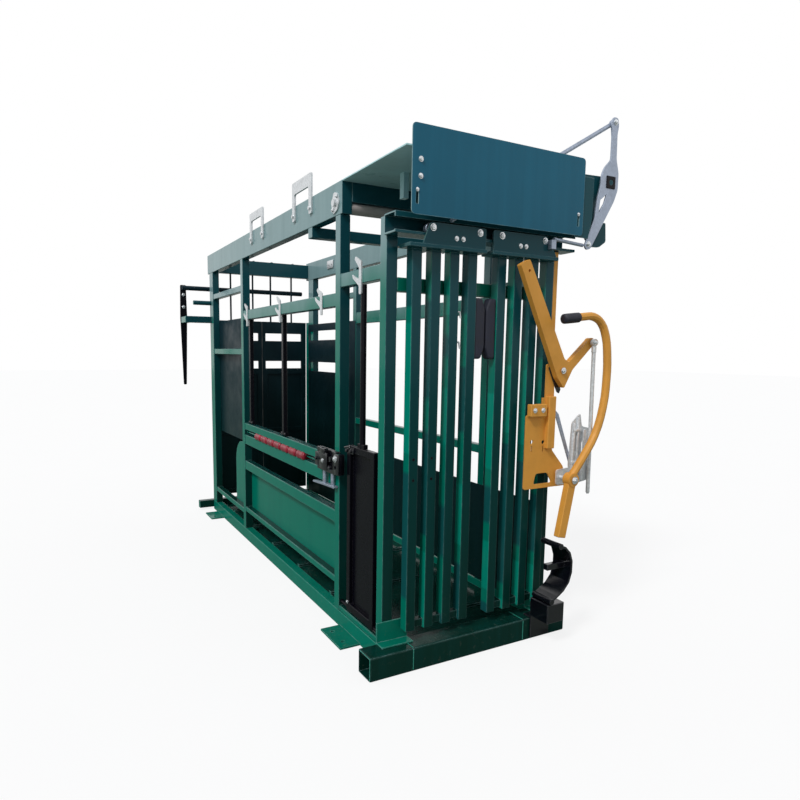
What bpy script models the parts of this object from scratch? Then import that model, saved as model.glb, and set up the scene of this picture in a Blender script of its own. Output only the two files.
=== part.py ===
"""Deer restraint crush: a walk-in squeeze frame with a sliding head gate,
drop-down side doors and bars, and a sliding rear gate worked by a lever.

Metres, +Z up. The origin sits under the middle of the front base beam,
+X runs to the right of the head gate and +Y runs back along the crush.
"""
import math

import bmesh
import bpy
from mathutils import Matrix, Vector

for old in list(bpy.data.objects):
    bpy.data.objects.remove(old, do_unlink=True)

# Fits
GAP = 0.0003              # clearance kept between two pieces that touch
WELD_IN = 0.004           # how far a welded bar runs into the bar it meets
SOFT = 0.003              # rounding of tube corners
MERGE = 0.00005           # welding distance for cleaned meshes

# Whole frame
HALF_WIDTH = 0.447        # middle plane to the outer face of a side frame
POST = 0.050              # square post
INNER = HALF_WIDTH - POST
BEAM = 0.100              # square front base beam
BEAM_WALL = 0.005
BEAM_LEFT = -HALF_WIDTH - 0.108
BEAM_RIGHT = HALF_WIDTH + 0.038
BASE_TOP = 0.075          # top of the base side rails
SIDE_START = BEAM / 2 + GAP
REAR_BEAM_Y = 2.850
REAR_BEAM_DEEP = 0.050
REAR_BEAM_HALF = HALF_WIDTH + 0.113
REAR_BEAM_LOW = 0.017
FLOOR_LOW = 0.030
FLOOR_THICK = 0.006
TREAD_COUNT = 6
TREAD_SIZE = 0.012

# Top
RAIL_LOW = 1.8965
RAIL_TOP = 2.039
RAIL_START = 0.446
RAIL_END = 2.901
HEADER_LOW = RAIL_TOP - 0.089
SHAFT_RADIUS = 0.024
SHAFT_Z = RAIL_LOW + 0.028
SHAFT_Y = 0.471
MID_TUBE_Y = 0.780
PLATE = 0.006             # usual plate thickness

# Side frames
POST_A_Y = 0.462
POST_C_Y = 1.954
COLUMN_Y = 2.750
RAIL_INSET = 0.0036       # side rails are this much narrower than posts
SIDE_SHEET = 0.004

# Head gate
TRACK_LOW = 1.738
TRACK_TALL = 0.078
TRACK_LIP = 0.0077        # height of the track's floor
LEAF_FRONT = -0.008
LEAF_DEEP = 0.045
LEAF_LOW = 0.150
LEAF_TOP = TRACK_LOW - 0.048
LEAF_BAR = 0.045
LEAF_PITCH = 0.089
LEAF_FIRST = 0.0765       # middle of the innermost bar
LEAF_BARS = 4
FLANGE_THICK = 0.015
TRACK_HALF = HALF_WIDTH + 0.013
TRACK_TOP = TRACK_LOW + TRACK_TALL
TRACK_FRONT = -0.032
TRACK_FLOOR = TRACK_LOW + TRACK_LIP
POST_B_TOP = TRACK_TOP - 0.001
ROLLER_RADIUS = 0.021
ROLLER_WIDE = 0.022
ROLLER_FRONT = -0.026
AXLE_RADIUS = 0.006
HANGER_FRONT = -0.0455
HANGER_TOP = TRACK_FLOOR + 0.0403
PAD_LOW = 1.270
PAD_TOP = 1.520
PAD_SLOPE = 0.028
PAD_INNER = 0.003

# Neck bar, handle and their bracket, all carried by the right leaf
BRACKET_BACK = -0.0503
NECK_BACK = -0.062
NECK_THICK = 0.026
NECK_PIVOT = (0.362, 1.222)
NECK_PIN = (0.530, 1.345)
PIVOT_RADIUS = 0.009
ROD_Y = -0.102
ROD_RADIUS = 0.006
ROD_END = (0.539, 0.663)
HANDLE_Y = -0.130
HANDLE_RADIUS = 0.0175
HANDLE_PIVOT = (0.398, 0.746)
GRIP_WALL = 0.0035

# Sync lever over the gate
LEVER_BACK = -0.071
LEVER_THICK = 0.008
LEVER_PIVOT = (HALF_WIDTH + 0.158, RAIL_TOP + 0.002)
LEVER_TOP_PIN = (LEVER_PIVOT[0] + 0.012, LEVER_PIVOT[1] + 0.253)
LINK_Y = -0.063
LINK_RADIUS = 0.0075
LINK_END = (-0.230, TRACK_LOW + 0.056)
SQUARE_HOLE = 0.052

# Drop bars on the left side
DOOR_AXIS = (-HALF_WIDTH + 0.017, 0.120)
BAR_AXIS_X = -HALF_WIDTH + POST / 2
BAR_AXIS_Z = 0.8228
BAR_HALF = 0.012
BAR_TOP = 1.4985
MID_RAIL_TOP = 0.810

# Rear gate
REAR_LEAF_FRONT = 2.905
REAR_LEAF_DEEP = 0.025
REAR_LEAF_HALF = INNER - 0.002
REAR_LEAF_LOW = 0.100
REAR_LEAF_TOP = 1.540
REAR_PIVOT = (-HALF_WIDTH - 0.178, 1.535)
REAR_LEVER_Y = 2.985

scene = bpy.context.scene
crush = bpy.data.collections.new("deer_restraint_crush")
scene.collection.children.link(crush)
cutters = bpy.data.collections.new("cutters")
scene.collection.children.link(cutters)

# Finishes: base colour, metallic, roughness
FINISH = {
    "green": ((0.010, 0.110, 0.085, 1.0), 0.0, 0.30),
    "bright_green": ((0.003, 0.200, 0.135, 1.0), 0.0, 0.32),
    "yellow": ((0.600, 0.240, 0.020, 1.0), 0.0, 0.35),
    "galvanised": ((0.620, 0.640, 0.660, 1.0), 0.9, 0.38),
    "black": ((0.010, 0.010, 0.014, 1.0), 0.0, 0.28),
    "rubber": ((0.012, 0.012, 0.020, 1.0), 0.0, 0.60),
    "red": ((0.520, 0.012, 0.026, 1.0), 0.0, 0.45),
}


def paint(obj, finish):
    """Gives a node its own material."""
    colour, metallic, roughness = FINISH[finish]
    material = bpy.data.materials.new(obj.name + "_finish")
    material.use_nodes = True
    shader = material.node_tree.nodes["Principled BSDF"]
    shader.inputs["Base Color"].default_value = colour
    shader.inputs["Metallic"].default_value = metallic
    shader.inputs["Roughness"].default_value = roughness
    material.diffuse_color = colour
    obj.data.materials.clear()
    obj.data.materials.append(material)


def mesh_object(name, shape):
    mesh = bpy.data.meshes.new(name)
    shape.to_mesh(mesh)
    shape.free()
    mesh.shade_smooth()
    mesh.set_sharp_from_angle(angle=math.radians(35))
    obj = bpy.data.objects.new(name, mesh)
    crush.objects.link(obj)
    return obj


def soften(obj, width, steps=1):
    if width > 0:
        bevel = obj.modifiers.new("soft edges", "BEVEL")
        bevel.width = width
        bevel.segments = steps
        bevel.limit_method = "ANGLE"
        bevel.angle_limit = math.radians(40)
    return obj


def box(name, low, high, soft=SOFT, steps=1):
    """A bar or block between two corners."""
    shape = bmesh.new()
    bmesh.ops.create_cube(shape, size=1.0)
    low = Vector(low)
    high = Vector(high)
    size = high - low
    bmesh.ops.scale(shape, vec=size, verts=shape.verts)
    bmesh.ops.translate(shape, vec=(low + high) / 2, verts=shape.verts)
    return soften(mesh_object(name, shape), soft, steps)


def round_bar(name, start, end, radius, sides=20):
    """A solid round bar between two points."""
    start = Vector(start)
    end = Vector(end)
    along = end - start
    shape = bmesh.new()
    bmesh.ops.create_cone(shape, cap_ends=True, segments=sides, radius1=radius,
                          radius2=radius, depth=along.length)
    turn = Vector((0, 0, 1)).rotation_difference(along).to_matrix().to_4x4()
    move = Matrix.Translation((start + end) / 2) @ turn
    bmesh.ops.transform(shape, matrix=move, verts=shape.verts)
    return mesh_object(name, shape)


def rounded(points, radius, steps=3):
    """The outline with each corner replaced by a short arc."""
    result = []
    count = len(points)
    for index in range(count):
        before = Vector(points[index - 1])
        here = Vector(points[index])
        after = Vector(points[(index + 1) % count])
        near = min(radius, (before - here).length / 2.2, (after - here).length / 2.2)
        first = here + (before - here).normalized() * near
        last = here + (after - here).normalized() * near
        for step in range(steps + 1):
            t = step / steps
            spot = first * (1 - t) ** 2 + here * 2 * t * (1 - t) + last * t ** 2
            result.append((spot.x, spot.y))
    return result


def ring(centre, radius, sides=20):
    """Points on a circle."""
    points = []
    for index in range(sides):
        angle = math.tau * index / sides
        points.append((centre[0] + radius * math.cos(angle),
                       centre[1] + radius * math.sin(angle)))
    return points


def slab(name, outline, plane, start, thick, holes=(), soft=0.0):
    """A flat plate with holes, drawn in the XZ or YZ plane."""
    curve = bpy.data.curves.new(name, "CURVE")
    curve.dimensions = "2D"
    curve.fill_mode = "BOTH"
    curve.extrude = thick / 2
    for loop in (outline, *holes):
        spline = curve.splines.new("POLY")
        spline.points.add(len(loop) - 1)
        for point, spot in zip(spline.points, loop):
            point.co = (spot[0], spot[1], 0, 1)
        spline.use_cyclic_u = True
    helper = bpy.data.objects.new(name, curve)
    crush.objects.link(helper)
    middle = start + thick / 2
    if plane == "XZ":
        helper.matrix_world = Matrix(((1, 0, 0, 0), (0, 0, -1, middle),
                                      (0, 1, 0, 0), (0, 0, 0, 1)))
    elif plane == "YZ":
        helper.matrix_world = Matrix(((0, 0, 1, middle), (1, 0, 0, 0),
                                      (0, 1, 0, 0), (0, 0, 0, 1)))
    else:
        helper.matrix_world = Matrix.Translation((0, 0, middle))
    return soften(solid_from(helper, name), soft)


def solid_from(helper, name):
    """Turns a curve helper into a closed mesh and removes the helper."""
    bpy.context.view_layer.update()
    graph = bpy.context.evaluated_depsgraph_get()
    rough = bpy.data.meshes.new_from_object(helper.evaluated_get(graph))
    shape = bmesh.new()
    shape.from_mesh(rough)
    bmesh.ops.transform(shape, matrix=helper.matrix_world, verts=shape.verts)
    bmesh.ops.remove_doubles(shape, verts=shape.verts, dist=MERGE)
    bmesh.ops.dissolve_limit(shape, angle_limit=math.radians(0.5),
                             verts=shape.verts, edges=shape.edges)
    bmesh.ops.recalc_face_normals(shape, faces=shape.faces)
    bpy.data.objects.remove(helper)
    return mesh_object(name, shape)


def tube(name, points, radius, detail=3, fine=6):
    """A round tube bent smoothly through the given points."""
    curve = bpy.data.curves.new(name, "CURVE")
    curve.dimensions = "3D"
    curve.bevel_depth = radius
    curve.bevel_resolution = detail
    curve.resolution_u = fine
    curve.use_fill_caps = True
    spline = curve.splines.new("BEZIER")
    spline.bezier_points.add(len(points) - 1)
    for point, spot in zip(spline.bezier_points, points):
        point.co = spot
        point.handle_left_type = "AUTO"
        point.handle_right_type = "AUTO"
    helper = bpy.data.objects.new(name, curve)
    crush.objects.link(helper)
    return solid_from(helper, name)


def turned(name, profile, centre, along, sides=24):
    """A ring turned about an axis, from its closed profile."""
    shape = bmesh.new()
    corners = []
    for radius, height in profile:
        corners.append(shape.verts.new((radius, 0, height)))
    for index in range(len(corners)):
        shape.edges.new((corners[index - 1], corners[index]))
    mesh = bpy.data.meshes.new(name)
    shape.to_mesh(mesh)
    shape.free()
    obj = bpy.data.objects.new(name, mesh)
    crush.objects.link(obj)
    turn = Vector((0, 0, 1)).rotation_difference(Vector(along)).to_matrix().to_4x4()
    obj.matrix_world = Matrix.Translation(centre) @ turn
    spin = obj.modifiers.new("turning", "SCREW")
    spin.steps = sides
    spin.render_steps = sides
    spin.use_merge_vertices = True
    spin.merge_threshold = MERGE
    spin.use_smooth_shade = True
    spin.use_normal_calculate = True
    return obj


def join_to(obj, other, how):
    boolean = obj.modifiers.new(how.lower() + " " + other.name, "BOOLEAN")
    boolean.operation = how
    boolean.solver = "EXACT"
    boolean.object = other
    crush.objects.unlink(other)
    cutters.objects.link(other)
    other.hide_render = True
    other.display_type = "WIRE"


def weld(obj, *others):
    for other in others:
        join_to(obj, other, "UNION")
    return obj


def cut(obj, *others):
    for other in others:
        join_to(obj, other, "DIFFERENCE")
    return obj


def axis_point(name, spot, carrier=None):
    """An empty on a joint axis; moving pieces hang from it."""
    empty = bpy.data.objects.new(name, None)
    empty.empty_display_size = 0.05
    crush.objects.link(empty)
    empty.location = spot
    bpy.context.view_layer.update()
    if carrier:
        hang(empty, carrier)
    return empty


def hang(obj, empty):
    bpy.context.view_layer.update()
    obj.parent = empty
    obj.matrix_parent_inverse = empty.matrix_world.inverted()


# Base
front_beam = box("base_front_beam", (BEAM_LEFT, -BEAM / 2, 0), (BEAM_RIGHT, BEAM / 2, BEAM), 0.006, 2)
beam_bore = box("beam_bore", (BEAM_LEFT - 0.01, -BEAM / 2 + BEAM_WALL, BEAM_WALL),
                (BEAM_RIGHT + 0.01, BEAM / 2 - BEAM_WALL, BEAM - BEAM_WALL), 0)
cut(front_beam, beam_bore)
paint(front_beam, "green")

rear_beam = box("base_rear_beam", (-REAR_BEAM_HALF, REAR_BEAM_Y, REAR_BEAM_LOW),
                (REAR_BEAM_HALF, REAR_BEAM_Y + REAR_BEAM_DEEP, BASE_TOP), SOFT, 2)
paint(rear_beam, "bright_green")

FOOT_THICK = 0.010
FOOT_OUT = HALF_WIDTH + 0.098
FOOT_SPANS = ((0.240, 0.450), (2.530, 2.720))
for side, word in ((-1, "left"), (1, "right")):
    edges = sorted((side * INNER, side * HALF_WIDTH))
    rail = box("base_rail_" + word, (edges[0], SIDE_START, 0),
               (edges[1], REAR_BEAM_Y - GAP, BASE_TOP), SOFT, 2)
    for number, (start, end) in enumerate(FOOT_SPANS):
        reach = sorted((side * (INNER + 0.006), side * FOOT_OUT))
        foot = box(f"foot_{word}_{number}", (reach[0], start, 0.0005),
                   (reach[1], end, FOOT_THICK), 0.001)
        for spot in (start + 0.05, end - 0.05):
            hole_x = side * (HALF_WIDTH + 0.06)
            cut(foot, round_bar(f"foot_hole_{word}_{number}", (hole_x, spot, -0.01),
                                (hole_x, spot, 0.03), 0.009, 16))
        weld(rail, foot)
    paint(rail, "bright_green")

floor = box("floor_plate", (-INNER + GAP, SIDE_START, FLOOR_LOW),
            (INNER - GAP, REAR_BEAM_Y - GAP, FLOOR_LOW + FLOOR_THICK), 0)
for index in range(TREAD_COUNT):
    middle = 0.30 + index * 0.45
    tread = box(f"tread_{index}", (-INNER + 0.037, middle - TREAD_SIZE, FLOOR_LOW + 0.003),
                (INNER - 0.037, middle + TREAD_SIZE, FLOOR_LOW + FLOOR_THICK + TREAD_SIZE), 0.002)
    weld(floor, tread)
paint(floor, "green")

for side, word in ((-1, "left"), (1, "right")):
    reach = sorted((side * (HALF_WIDTH - 0.121), side * (HALF_WIDTH + 0.027)))
    gusset = box("corner_gusset_" + word, (reach[0], -0.004, BEAM + GAP),
                 (reach[1], BEAM / 2, BEAM + GAP + PLATE), 0.001)
    weld(gusset, box("gusset_wing_" + word, (reach[0] + 0.0005, BEAM / 2 - PLATE, BEAM + 0.001),
                     (reach[1] - 0.0005, BEAM / 2 - 0.0002, BEAM + 0.090), 0.001))
    paint(gusset, "bright_green")

# Side frames: one welded piece each
FRAME_LOW = BASE_TOP + GAP
POST_TOP = RAIL_LOW - GAP
BAY_1 = (SIDE_START + POST - WELD_IN, POST_A_Y + WELD_IN)
BAY_2 = (POST_A_Y + POST - WELD_IN, POST_C_Y + WELD_IN)
BAY_3 = (POST_C_Y + POST - WELD_IN, COLUMN_Y + WELD_IN)
LEFT_RAILS = (
    (BAY_1, 1.580, 1.640), (BAY_2, 1.500, 1.560), (BAY_2, 0.765, MID_RAIL_TOP),
    (BAY_2, 0.665, 0.730), (BAY_2, 0.490, 0.550), (BAY_2, 0.195, 0.227),
    (BAY_3, 1.690, 1.730), (BAY_3, 1.269, 1.309), (BAY_3, 0.170, 0.205))
RIGHT_RAILS = (
    (BAY_1, 1.580, 1.640), (BAY_1, 0.490, 0.550), (BAY_2, 1.500, 1.580),
    (BAY_2, 0.765, MID_RAIL_TOP), (BAY_2, 0.490, 0.550), (BAY_2, 0.195, 0.227),
    (BAY_3, 1.690, 1.730), (BAY_3, 1.269, 1.309), (BAY_3, 0.170, 0.205))
side_frames = {}
for side, word, rails in ((-1, "left", LEFT_RAILS), (1, "right", RIGHT_RAILS)):
    edges = sorted((side * INNER, side * HALF_WIDTH))
    posts = (("b", SIDE_START, SIDE_START + POST, POST_B_TOP),
             ("a", POST_A_Y, POST_A_Y + POST, POST_TOP),
             ("c", POST_C_Y, POST_C_Y + POST, POST_TOP),
             ("column", COLUMN_Y, REAR_BEAM_Y - GAP, POST_TOP))
    frame = None
    for letter, start, end, top in posts:
        name = "side_frame_" + word if frame is None else f"post_{letter}_{word}"
        post = box(name, (edges[0], start, FRAME_LOW), (edges[1], end, top), SOFT, 2)
        if frame is None:
            frame = post
        else:
            weld(frame, post)
    for number, (bay, low, high) in enumerate(rails):
        weld(frame, box(f"rail_{word}_{number}", (edges[0] + RAIL_INSET, bay[0], low),
                        (edges[1] - RAIL_INSET, bay[1], high)))
    weld(frame, box("sill_" + word, (edges[0] + RAIL_INSET, BAY_1[0], FRAME_LOW + 0.001),
                    (edges[1] - RAIL_INSET, BAY_1[1], 0.100)))
    guide = sorted((side * (INNER + 0.001), side * (INNER + 0.012)))
    weld(frame, box("rear_guide_" + word, (guide[0], REAR_BEAM_Y - 0.010, BASE_TOP + 0.002),
                    (guide[1], REAR_LEAF_FRONT - 2 * GAP, REAR_LEAF_TOP), 0.001))
    side_frames[word] = frame
    paint(frame, "green")

SLEEVE_Z = 0.7475
SLEEVE_ROD = 0.007
ARM_HALF = 0.025
weld(side_frames["left"],
     round_bar("sleeve_rod", (BAR_AXIS_X, BAY_2[0], SLEEVE_Z), (BAR_AXIS_X, BAY_2[1], SLEEVE_Z),
               SLEEVE_ROD, 16),
     box("low_arm_out", (REAR_PIVOT[0] - ARM_HALF, 2.795, REAR_PIVOT[1] - ARM_HALF),
         (-HALF_WIDTH + WELD_IN, 2.840, REAR_PIVOT[1] + ARM_HALF)),
     box("low_arm_back", (REAR_PIVOT[0] - ARM_HALF - 0.0005, 2.796, REAR_PIVOT[1] - ARM_HALF + 0.001),
         (REAR_PIVOT[0] + ARM_HALF, 2.960, REAR_PIVOT[1] + ARM_HALF - 0.001)),
     round_bar("low_arm_pin", (REAR_PIVOT[0], 2.950, REAR_PIVOT[1]),
               (REAR_PIVOT[0], REAR_LEVER_Y + 0.014, REAR_PIVOT[1]), PIVOT_RADIUS),
     round_bar("middle_arm", (-HALF_WIDTH - 0.136, 2.817, REAR_PIVOT[1] + 0.130),
               (-HALF_WIDTH + WELD_IN, 2.817, REAR_PIVOT[1] + 0.130), 0.017))

# Sheets on the side frames
SHEET_TOP = 1.522
LOW_WALL_TOP = 0.600
WALL_START = POST_C_Y + 0.004
WALL_END = REAR_BEAM_Y - 0.008
SLOT_ROWS = ((1.388, 1.465), (1.131, 1.208))
slots = []
for low, high in SLOT_ROWS:
    slots.append(rounded(((WALL_START + 0.102, low), (WALL_END - 0.040, low),
                          (WALL_END - 0.040, high), (WALL_START + 0.102, high)), 0.012))
wall = slab("wall_panel_right",
            ((SIDE_START + 0.010, 0.085), (WALL_END, 0.085), (WALL_END, SHEET_TOP),
             (WALL_START, SHEET_TOP), (WALL_START, LOW_WALL_TOP), (SIDE_START + 0.010, LOW_WALL_TOP)),
            "YZ", INNER - GAP - SIDE_SHEET, SIDE_SHEET, slots)
paint(wall, "green")

infill = slab("infill_sheet_left",
              ((WALL_START, 0.660), (WALL_END, 0.660), (WALL_END, SHEET_TOP), (WALL_START, SHEET_TOP)),
              "YZ", -INNER + GAP, SIDE_SHEET)
paint(infill, "green")

SHEET_FACE = -INNER - RAIL_INSET + GAP
ARCH = (2.030, 2.330, 0.180, 0.650)
arch_middle = (ARCH[0] + ARCH[1]) / 2
arch_radius = (ARCH[1] - ARCH[0]) / 2
arch = [(ARCH[0], ARCH[2]), (ARCH[1], ARCH[2])]
for step in range(13):
    angle = math.pi * step / 12
    arch.append((arch_middle + arch_radius * math.cos(angle),
                 ARCH[3] - arch_radius + arch_radius * math.sin(angle)))
arch_plate = slab("arch_plate_left", arch, "YZ", SHEET_FACE, PLATE)
paint(arch_plate, "bright_green")

kick = slab("kick_panel_left",
            ((POST_A_Y + 0.054, 0.212), (POST_C_Y - 0.004, 0.212), (POST_C_Y - 0.004, 0.530),
             (POST_A_Y + 0.054, 0.530)), "YZ", SHEET_FACE, SIDE_SHEET)
paint(kick, "green")

# Top rails and what crosses between them
for side, word in ((-1, "left"), (1, "right")):
    edges = sorted((side * INNER, side * HALF_WIDTH))
    top_rail = box("top_rail_" + word, (edges[0], RAIL_START, RAIL_LOW),
                   (edges[1], RAIL_END, RAIL_TOP), SOFT, 2)
    paint(top_rail, "green")

PANEL_BACK = -0.083
PANEL_THICK = 0.004
CANOPY_FRONT = -0.032
CANOPY_BACK = RAIL_START - GAP
canopy = box("canopy_sheet", (-HALF_WIDTH, CANOPY_FRONT, RAIL_TOP - PLATE),
             (INNER - GAP, CANOPY_BACK, RAIL_TOP), 0.001)
weld(canopy, box("panel_tab", (-HALF_WIDTH + 0.0005, PANEL_BACK + GAP, RAIL_TOP - PLATE + 0.0005),
                 (-INNER + 0.002, CANOPY_FRONT + 0.020, RAIL_TOP - 0.0005), 0))
for side, word in ((-1, "left"), (1, "right")):
    reach = sorted((side * 0.256, side * 0.281))
    weld(canopy,
         box("canopy_stay_" + word, (reach[0], 0.205, HEADER_LOW - 0.020),
             (reach[1], 0.235, RAIL_TOP - PLATE + 0.002), 0.001),
         box("track_hanger_" + word, (reach[0], CANOPY_FRONT + 0.004, TRACK_TOP + GAP),
             (reach[1], CANOPY_FRONT + 0.034, RAIL_TOP - PLATE + 0.002), 0.001))
paint(canopy, "green")

HEADER_HALF = INNER - GAP
front_header = box("front_header", (-HEADER_HALF, RAIL_START, HEADER_LOW),
                   (HEADER_HALF, RAIL_START + POST, RAIL_TOP - 0.001), SOFT, 2)
paint(front_header, "green")
REAR_HEADER_TOP = RAIL_TOP - 0.019
rear_header = box("rear_header", (-INNER + GAP, REAR_BEAM_Y + 0.001, RAIL_LOW + 0.0135),
                  (INNER - GAP, RAIL_END, REAR_HEADER_TOP), SOFT, 2)
paint(rear_header, "green")
mid_tube = box("mid_cross_tube", (-HALF_WIDTH, MID_TUBE_Y, POST_TOP - POST),
               (HALF_WIDTH, MID_TUBE_Y + POST, POST_TOP), SOFT, 2)
paint(mid_tube, "green")
shaft = round_bar("cross_shaft", (-INNER + GAP, SHAFT_Y, SHAFT_Z), (INNER - GAP, SHAFT_Y, SHAFT_Z),
                  SHAFT_RADIUS, 32)
paint(shaft, "galvanised")
neck_tube = box("front_cross_tube", (-INNER + GAP, 0.052, 1.531),
                (INNER - GAP, 0.090, 1.586))
paint(neck_tube, "bright_green")

bearing = slab("bearing_plate",
               rounded(((0.465, 1.951), (0.485, 1.918), (0.525, 1.905), (0.545, 1.951),
                        (0.520, 2.000), (0.485, 1.992)), 0.012),
               "YZ", -HALF_WIDTH - GAP - PLATE, PLATE)
weld(bearing, round_bar("bearing_boss", (-HALF_WIDTH - 0.003, 0.505, 1.951),
                        (-HALF_WIDTH - 0.018, 0.505, 1.951), 0.016))
paint(bearing, "galvanised")

STRAP_LEG = 0.032
for start, top, word in ((0.770, RAIL_TOP + 0.111, "front"), (1.500, RAIL_TOP + 0.099, "rear")):
    end = start + 0.250
    foot = RAIL_TOP - 0.081
    bend = RAIL_TOP + 0.051
    outline = rounded(((start, foot), (start + STRAP_LEG, foot), (start + STRAP_LEG, bend),
                       (end - STRAP_LEG, bend), (end - STRAP_LEG, foot), (end, foot),
                       (end, top), (start, top)), 0.010)
    strap = slab("lift_strap_" + word, outline, "YZ", -HALF_WIDTH - GAP - 0.010, 0.010, (), 0.001)
    for spot in (start + STRAP_LEG / 2, end - STRAP_LEG / 2):
        weld(strap, round_bar(f"strap_bolt_{word}", (-HALF_WIDTH - 0.008, spot, foot + 0.027),
                              (-HALF_WIDTH - 0.018, spot, foot + 0.027), 0.010, 6))
    paint(strap, "galvanised")

# Head gate track
track = box("gate_track", (-TRACK_HALF, TRACK_FRONT, TRACK_LOW), (TRACK_HALF, BEAM / 2, TRACK_TOP), 0.002)
cut(track,
    box("track_room", (-TRACK_HALF - 0.01, TRACK_FRONT + 0.004, TRACK_FLOOR),
        (TRACK_HALF + 0.01, BEAM / 2 - 0.006, TRACK_TOP - 0.006), 0),
    box("track_mouth", (-TRACK_HALF - 0.01, TRACK_FRONT - 0.01, TRACK_FLOOR + 0.003),
        (TRACK_HALF + 0.01, TRACK_FRONT + 0.006, TRACK_TOP - 0.021), 0))
paint(track, "green")

PANEL_LOW = TRACK_TOP - 0.019
PANEL_TOP = RAIL_TOP + 0.076
PANEL_LEFT = -HALF_WIDTH + 0.023
PANEL_RIGHT = HALF_WIDTH - 0.007
panel_slots = []
for middle in (PANEL_LEFT + 0.024, PANEL_RIGHT - 0.028):
    panel_slots.append(rounded(((middle - 0.006, PANEL_LOW + 0.036), (middle + 0.006, PANEL_LOW + 0.036),
                                (middle + 0.006, PANEL_LOW + 0.091), (middle - 0.006, PANEL_LOW + 0.091)),
                               0.005))
panel = slab("front_panel",
             rounded(((PANEL_LEFT, PANEL_LOW), (PANEL_RIGHT, PANEL_LOW), (PANEL_RIGHT, PANEL_TOP),
                      (PANEL_LEFT, PANEL_TOP)), 0.018, 5),
             "XZ", PANEL_BACK - PANEL_THICK, PANEL_THICK, panel_slots)
paint(panel, "green")

# Head gate leaves
ROLLER_Z = TRACK_FLOOR + GAP + ROLLER_RADIUS
LEAF_BACK = LEAF_FRONT + LEAF_DEEP
leaf_axis = {}
roller_axis = {}
HANGER_LOW = LEAF_TOP + 0.010
LEAF_END = LEAF_FIRST + (LEAF_BARS - 1) * LEAF_PITCH + LEAF_BAR / 2
HANGERS = {
    "left": ((-0.346, HANGER_LOW), (-0.045, HANGER_LOW), (-0.045, HANGER_TOP), (-0.310, HANGER_TOP)),
    "right": ((-0.006, HANGER_LOW), (0.340, HANGER_LOW), (0.332, HANGER_LOW + 0.017),
              (0.280, HANGER_TOP), (-0.006, HANGER_TOP))}
FLANGES = {"left": (-LEAF_END - 0.040, -0.040), "right": (-0.010, LEAF_END - 0.019)}
FLANGE_FRONT = -0.051
ROLLERS = {"left": (-0.299, -0.075), "right": (0.037, 0.270)}
for side, word in ((-1, "left"), (1, "right")):
    leaf_axis[word] = axis_point("leaf_slide_" + word, (side * 0.21, LEAF_FRONT, ROLLER_Z))
    leaf = None
    for index in range(LEAF_BARS):
        middle = side * (LEAF_FIRST + index * LEAF_PITCH)
        name = "leaf_" + word if leaf is None else f"leaf_bar_{word}_{index}"
        bar = box(name, (middle - LEAF_BAR / 2, LEAF_FRONT, LEAF_LOW),
                  (middle + LEAF_BAR / 2, LEAF_BACK, LEAF_TOP + 0.007), 0.004, 2)
        if leaf is None:
            leaf = bar
        else:
            weld(leaf, bar)
    reach = sorted((side * LEAF_FIRST, side * (LEAF_FIRST + 3 * LEAF_PITCH)))
    weld(leaf, box("leaf_foot_" + word, (reach[0], LEAF_FRONT + 0.014, LEAF_LOW + 0.007),
                   (reach[1], LEAF_BACK - 0.002, LEAF_LOW + 0.040), 0.002))
    flange = FLANGES[word]
    weld(leaf, box("leaf_flange_" + word, (flange[0], FLANGE_FRONT, LEAF_TOP),
                   (flange[1], LEAF_BACK - 0.010, LEAF_TOP + FLANGE_THICK), 0.002),
         slab("hanger_" + word, rounded(HANGERS[word], 0.008), "XZ", HANGER_FRONT, PLATE))
    for number, spot in enumerate(ROLLERS[word]):
        weld(leaf, round_bar(f"axle_{word}_{number}", (spot, HANGER_FRONT + 0.003, ROLLER_Z),
                             (spot, ROLLER_FRONT + ROLLER_WIDE + 0.004, ROLLER_Z), AXLE_RADIUS, 16))
        pin = axis_point(f"roller_axis_{word}_{number}", (spot, ROLLER_FRONT, ROLLER_Z),
                         leaf_axis[word])
        bore = AXLE_RADIUS + GAP
        roller = turned(f"roller_{word}_{number}",
                        ((bore, ROLLER_WIDE), (ROLLER_RADIUS - 0.002, ROLLER_WIDE),
                         (ROLLER_RADIUS, ROLLER_WIDE - 0.002), (ROLLER_RADIUS, 0.002),
                         (ROLLER_RADIUS - 0.002, 0), (bore, 0)),
                        (spot, ROLLER_FRONT, ROLLER_Z), (0, 1, 0))
        paint(roller, "galvanised")
        hang(roller, pin)
    paint(leaf, "green")
    hang(leaf, leaf_axis[word])
    pad_out = LEAF_FIRST - LEAF_BAR / 2 - GAP
    pad = slab("neck_pad_" + word,
               rounded(((side * pad_out, PAD_LOW), (side * (PAD_INNER + 0.018), PAD_LOW),
                        (side * PAD_INNER, PAD_LOW + PAD_SLOPE),
                        (side * PAD_INNER, PAD_TOP - PAD_SLOPE),
                        (side * (PAD_INNER + 0.018), PAD_TOP), (side * pad_out, PAD_TOP)), 0.006),
               "XZ", LEAF_FRONT + 0.003, 0.038, (), 0.002)
    paint(pad, "rubber")
    hang(pad, leaf_axis[word])

leaf_post = box("leaf_post", (LEAF_END + GAP, LEAF_FRONT + 0.002, 0.760),
                (LEAF_END + 0.024, LEAF_FRONT + 0.028, TRACK_LOW - 0.003), 0.001)
paint(leaf_post, "yellow")
hang(leaf_post, leaf_axis["right"])

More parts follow.
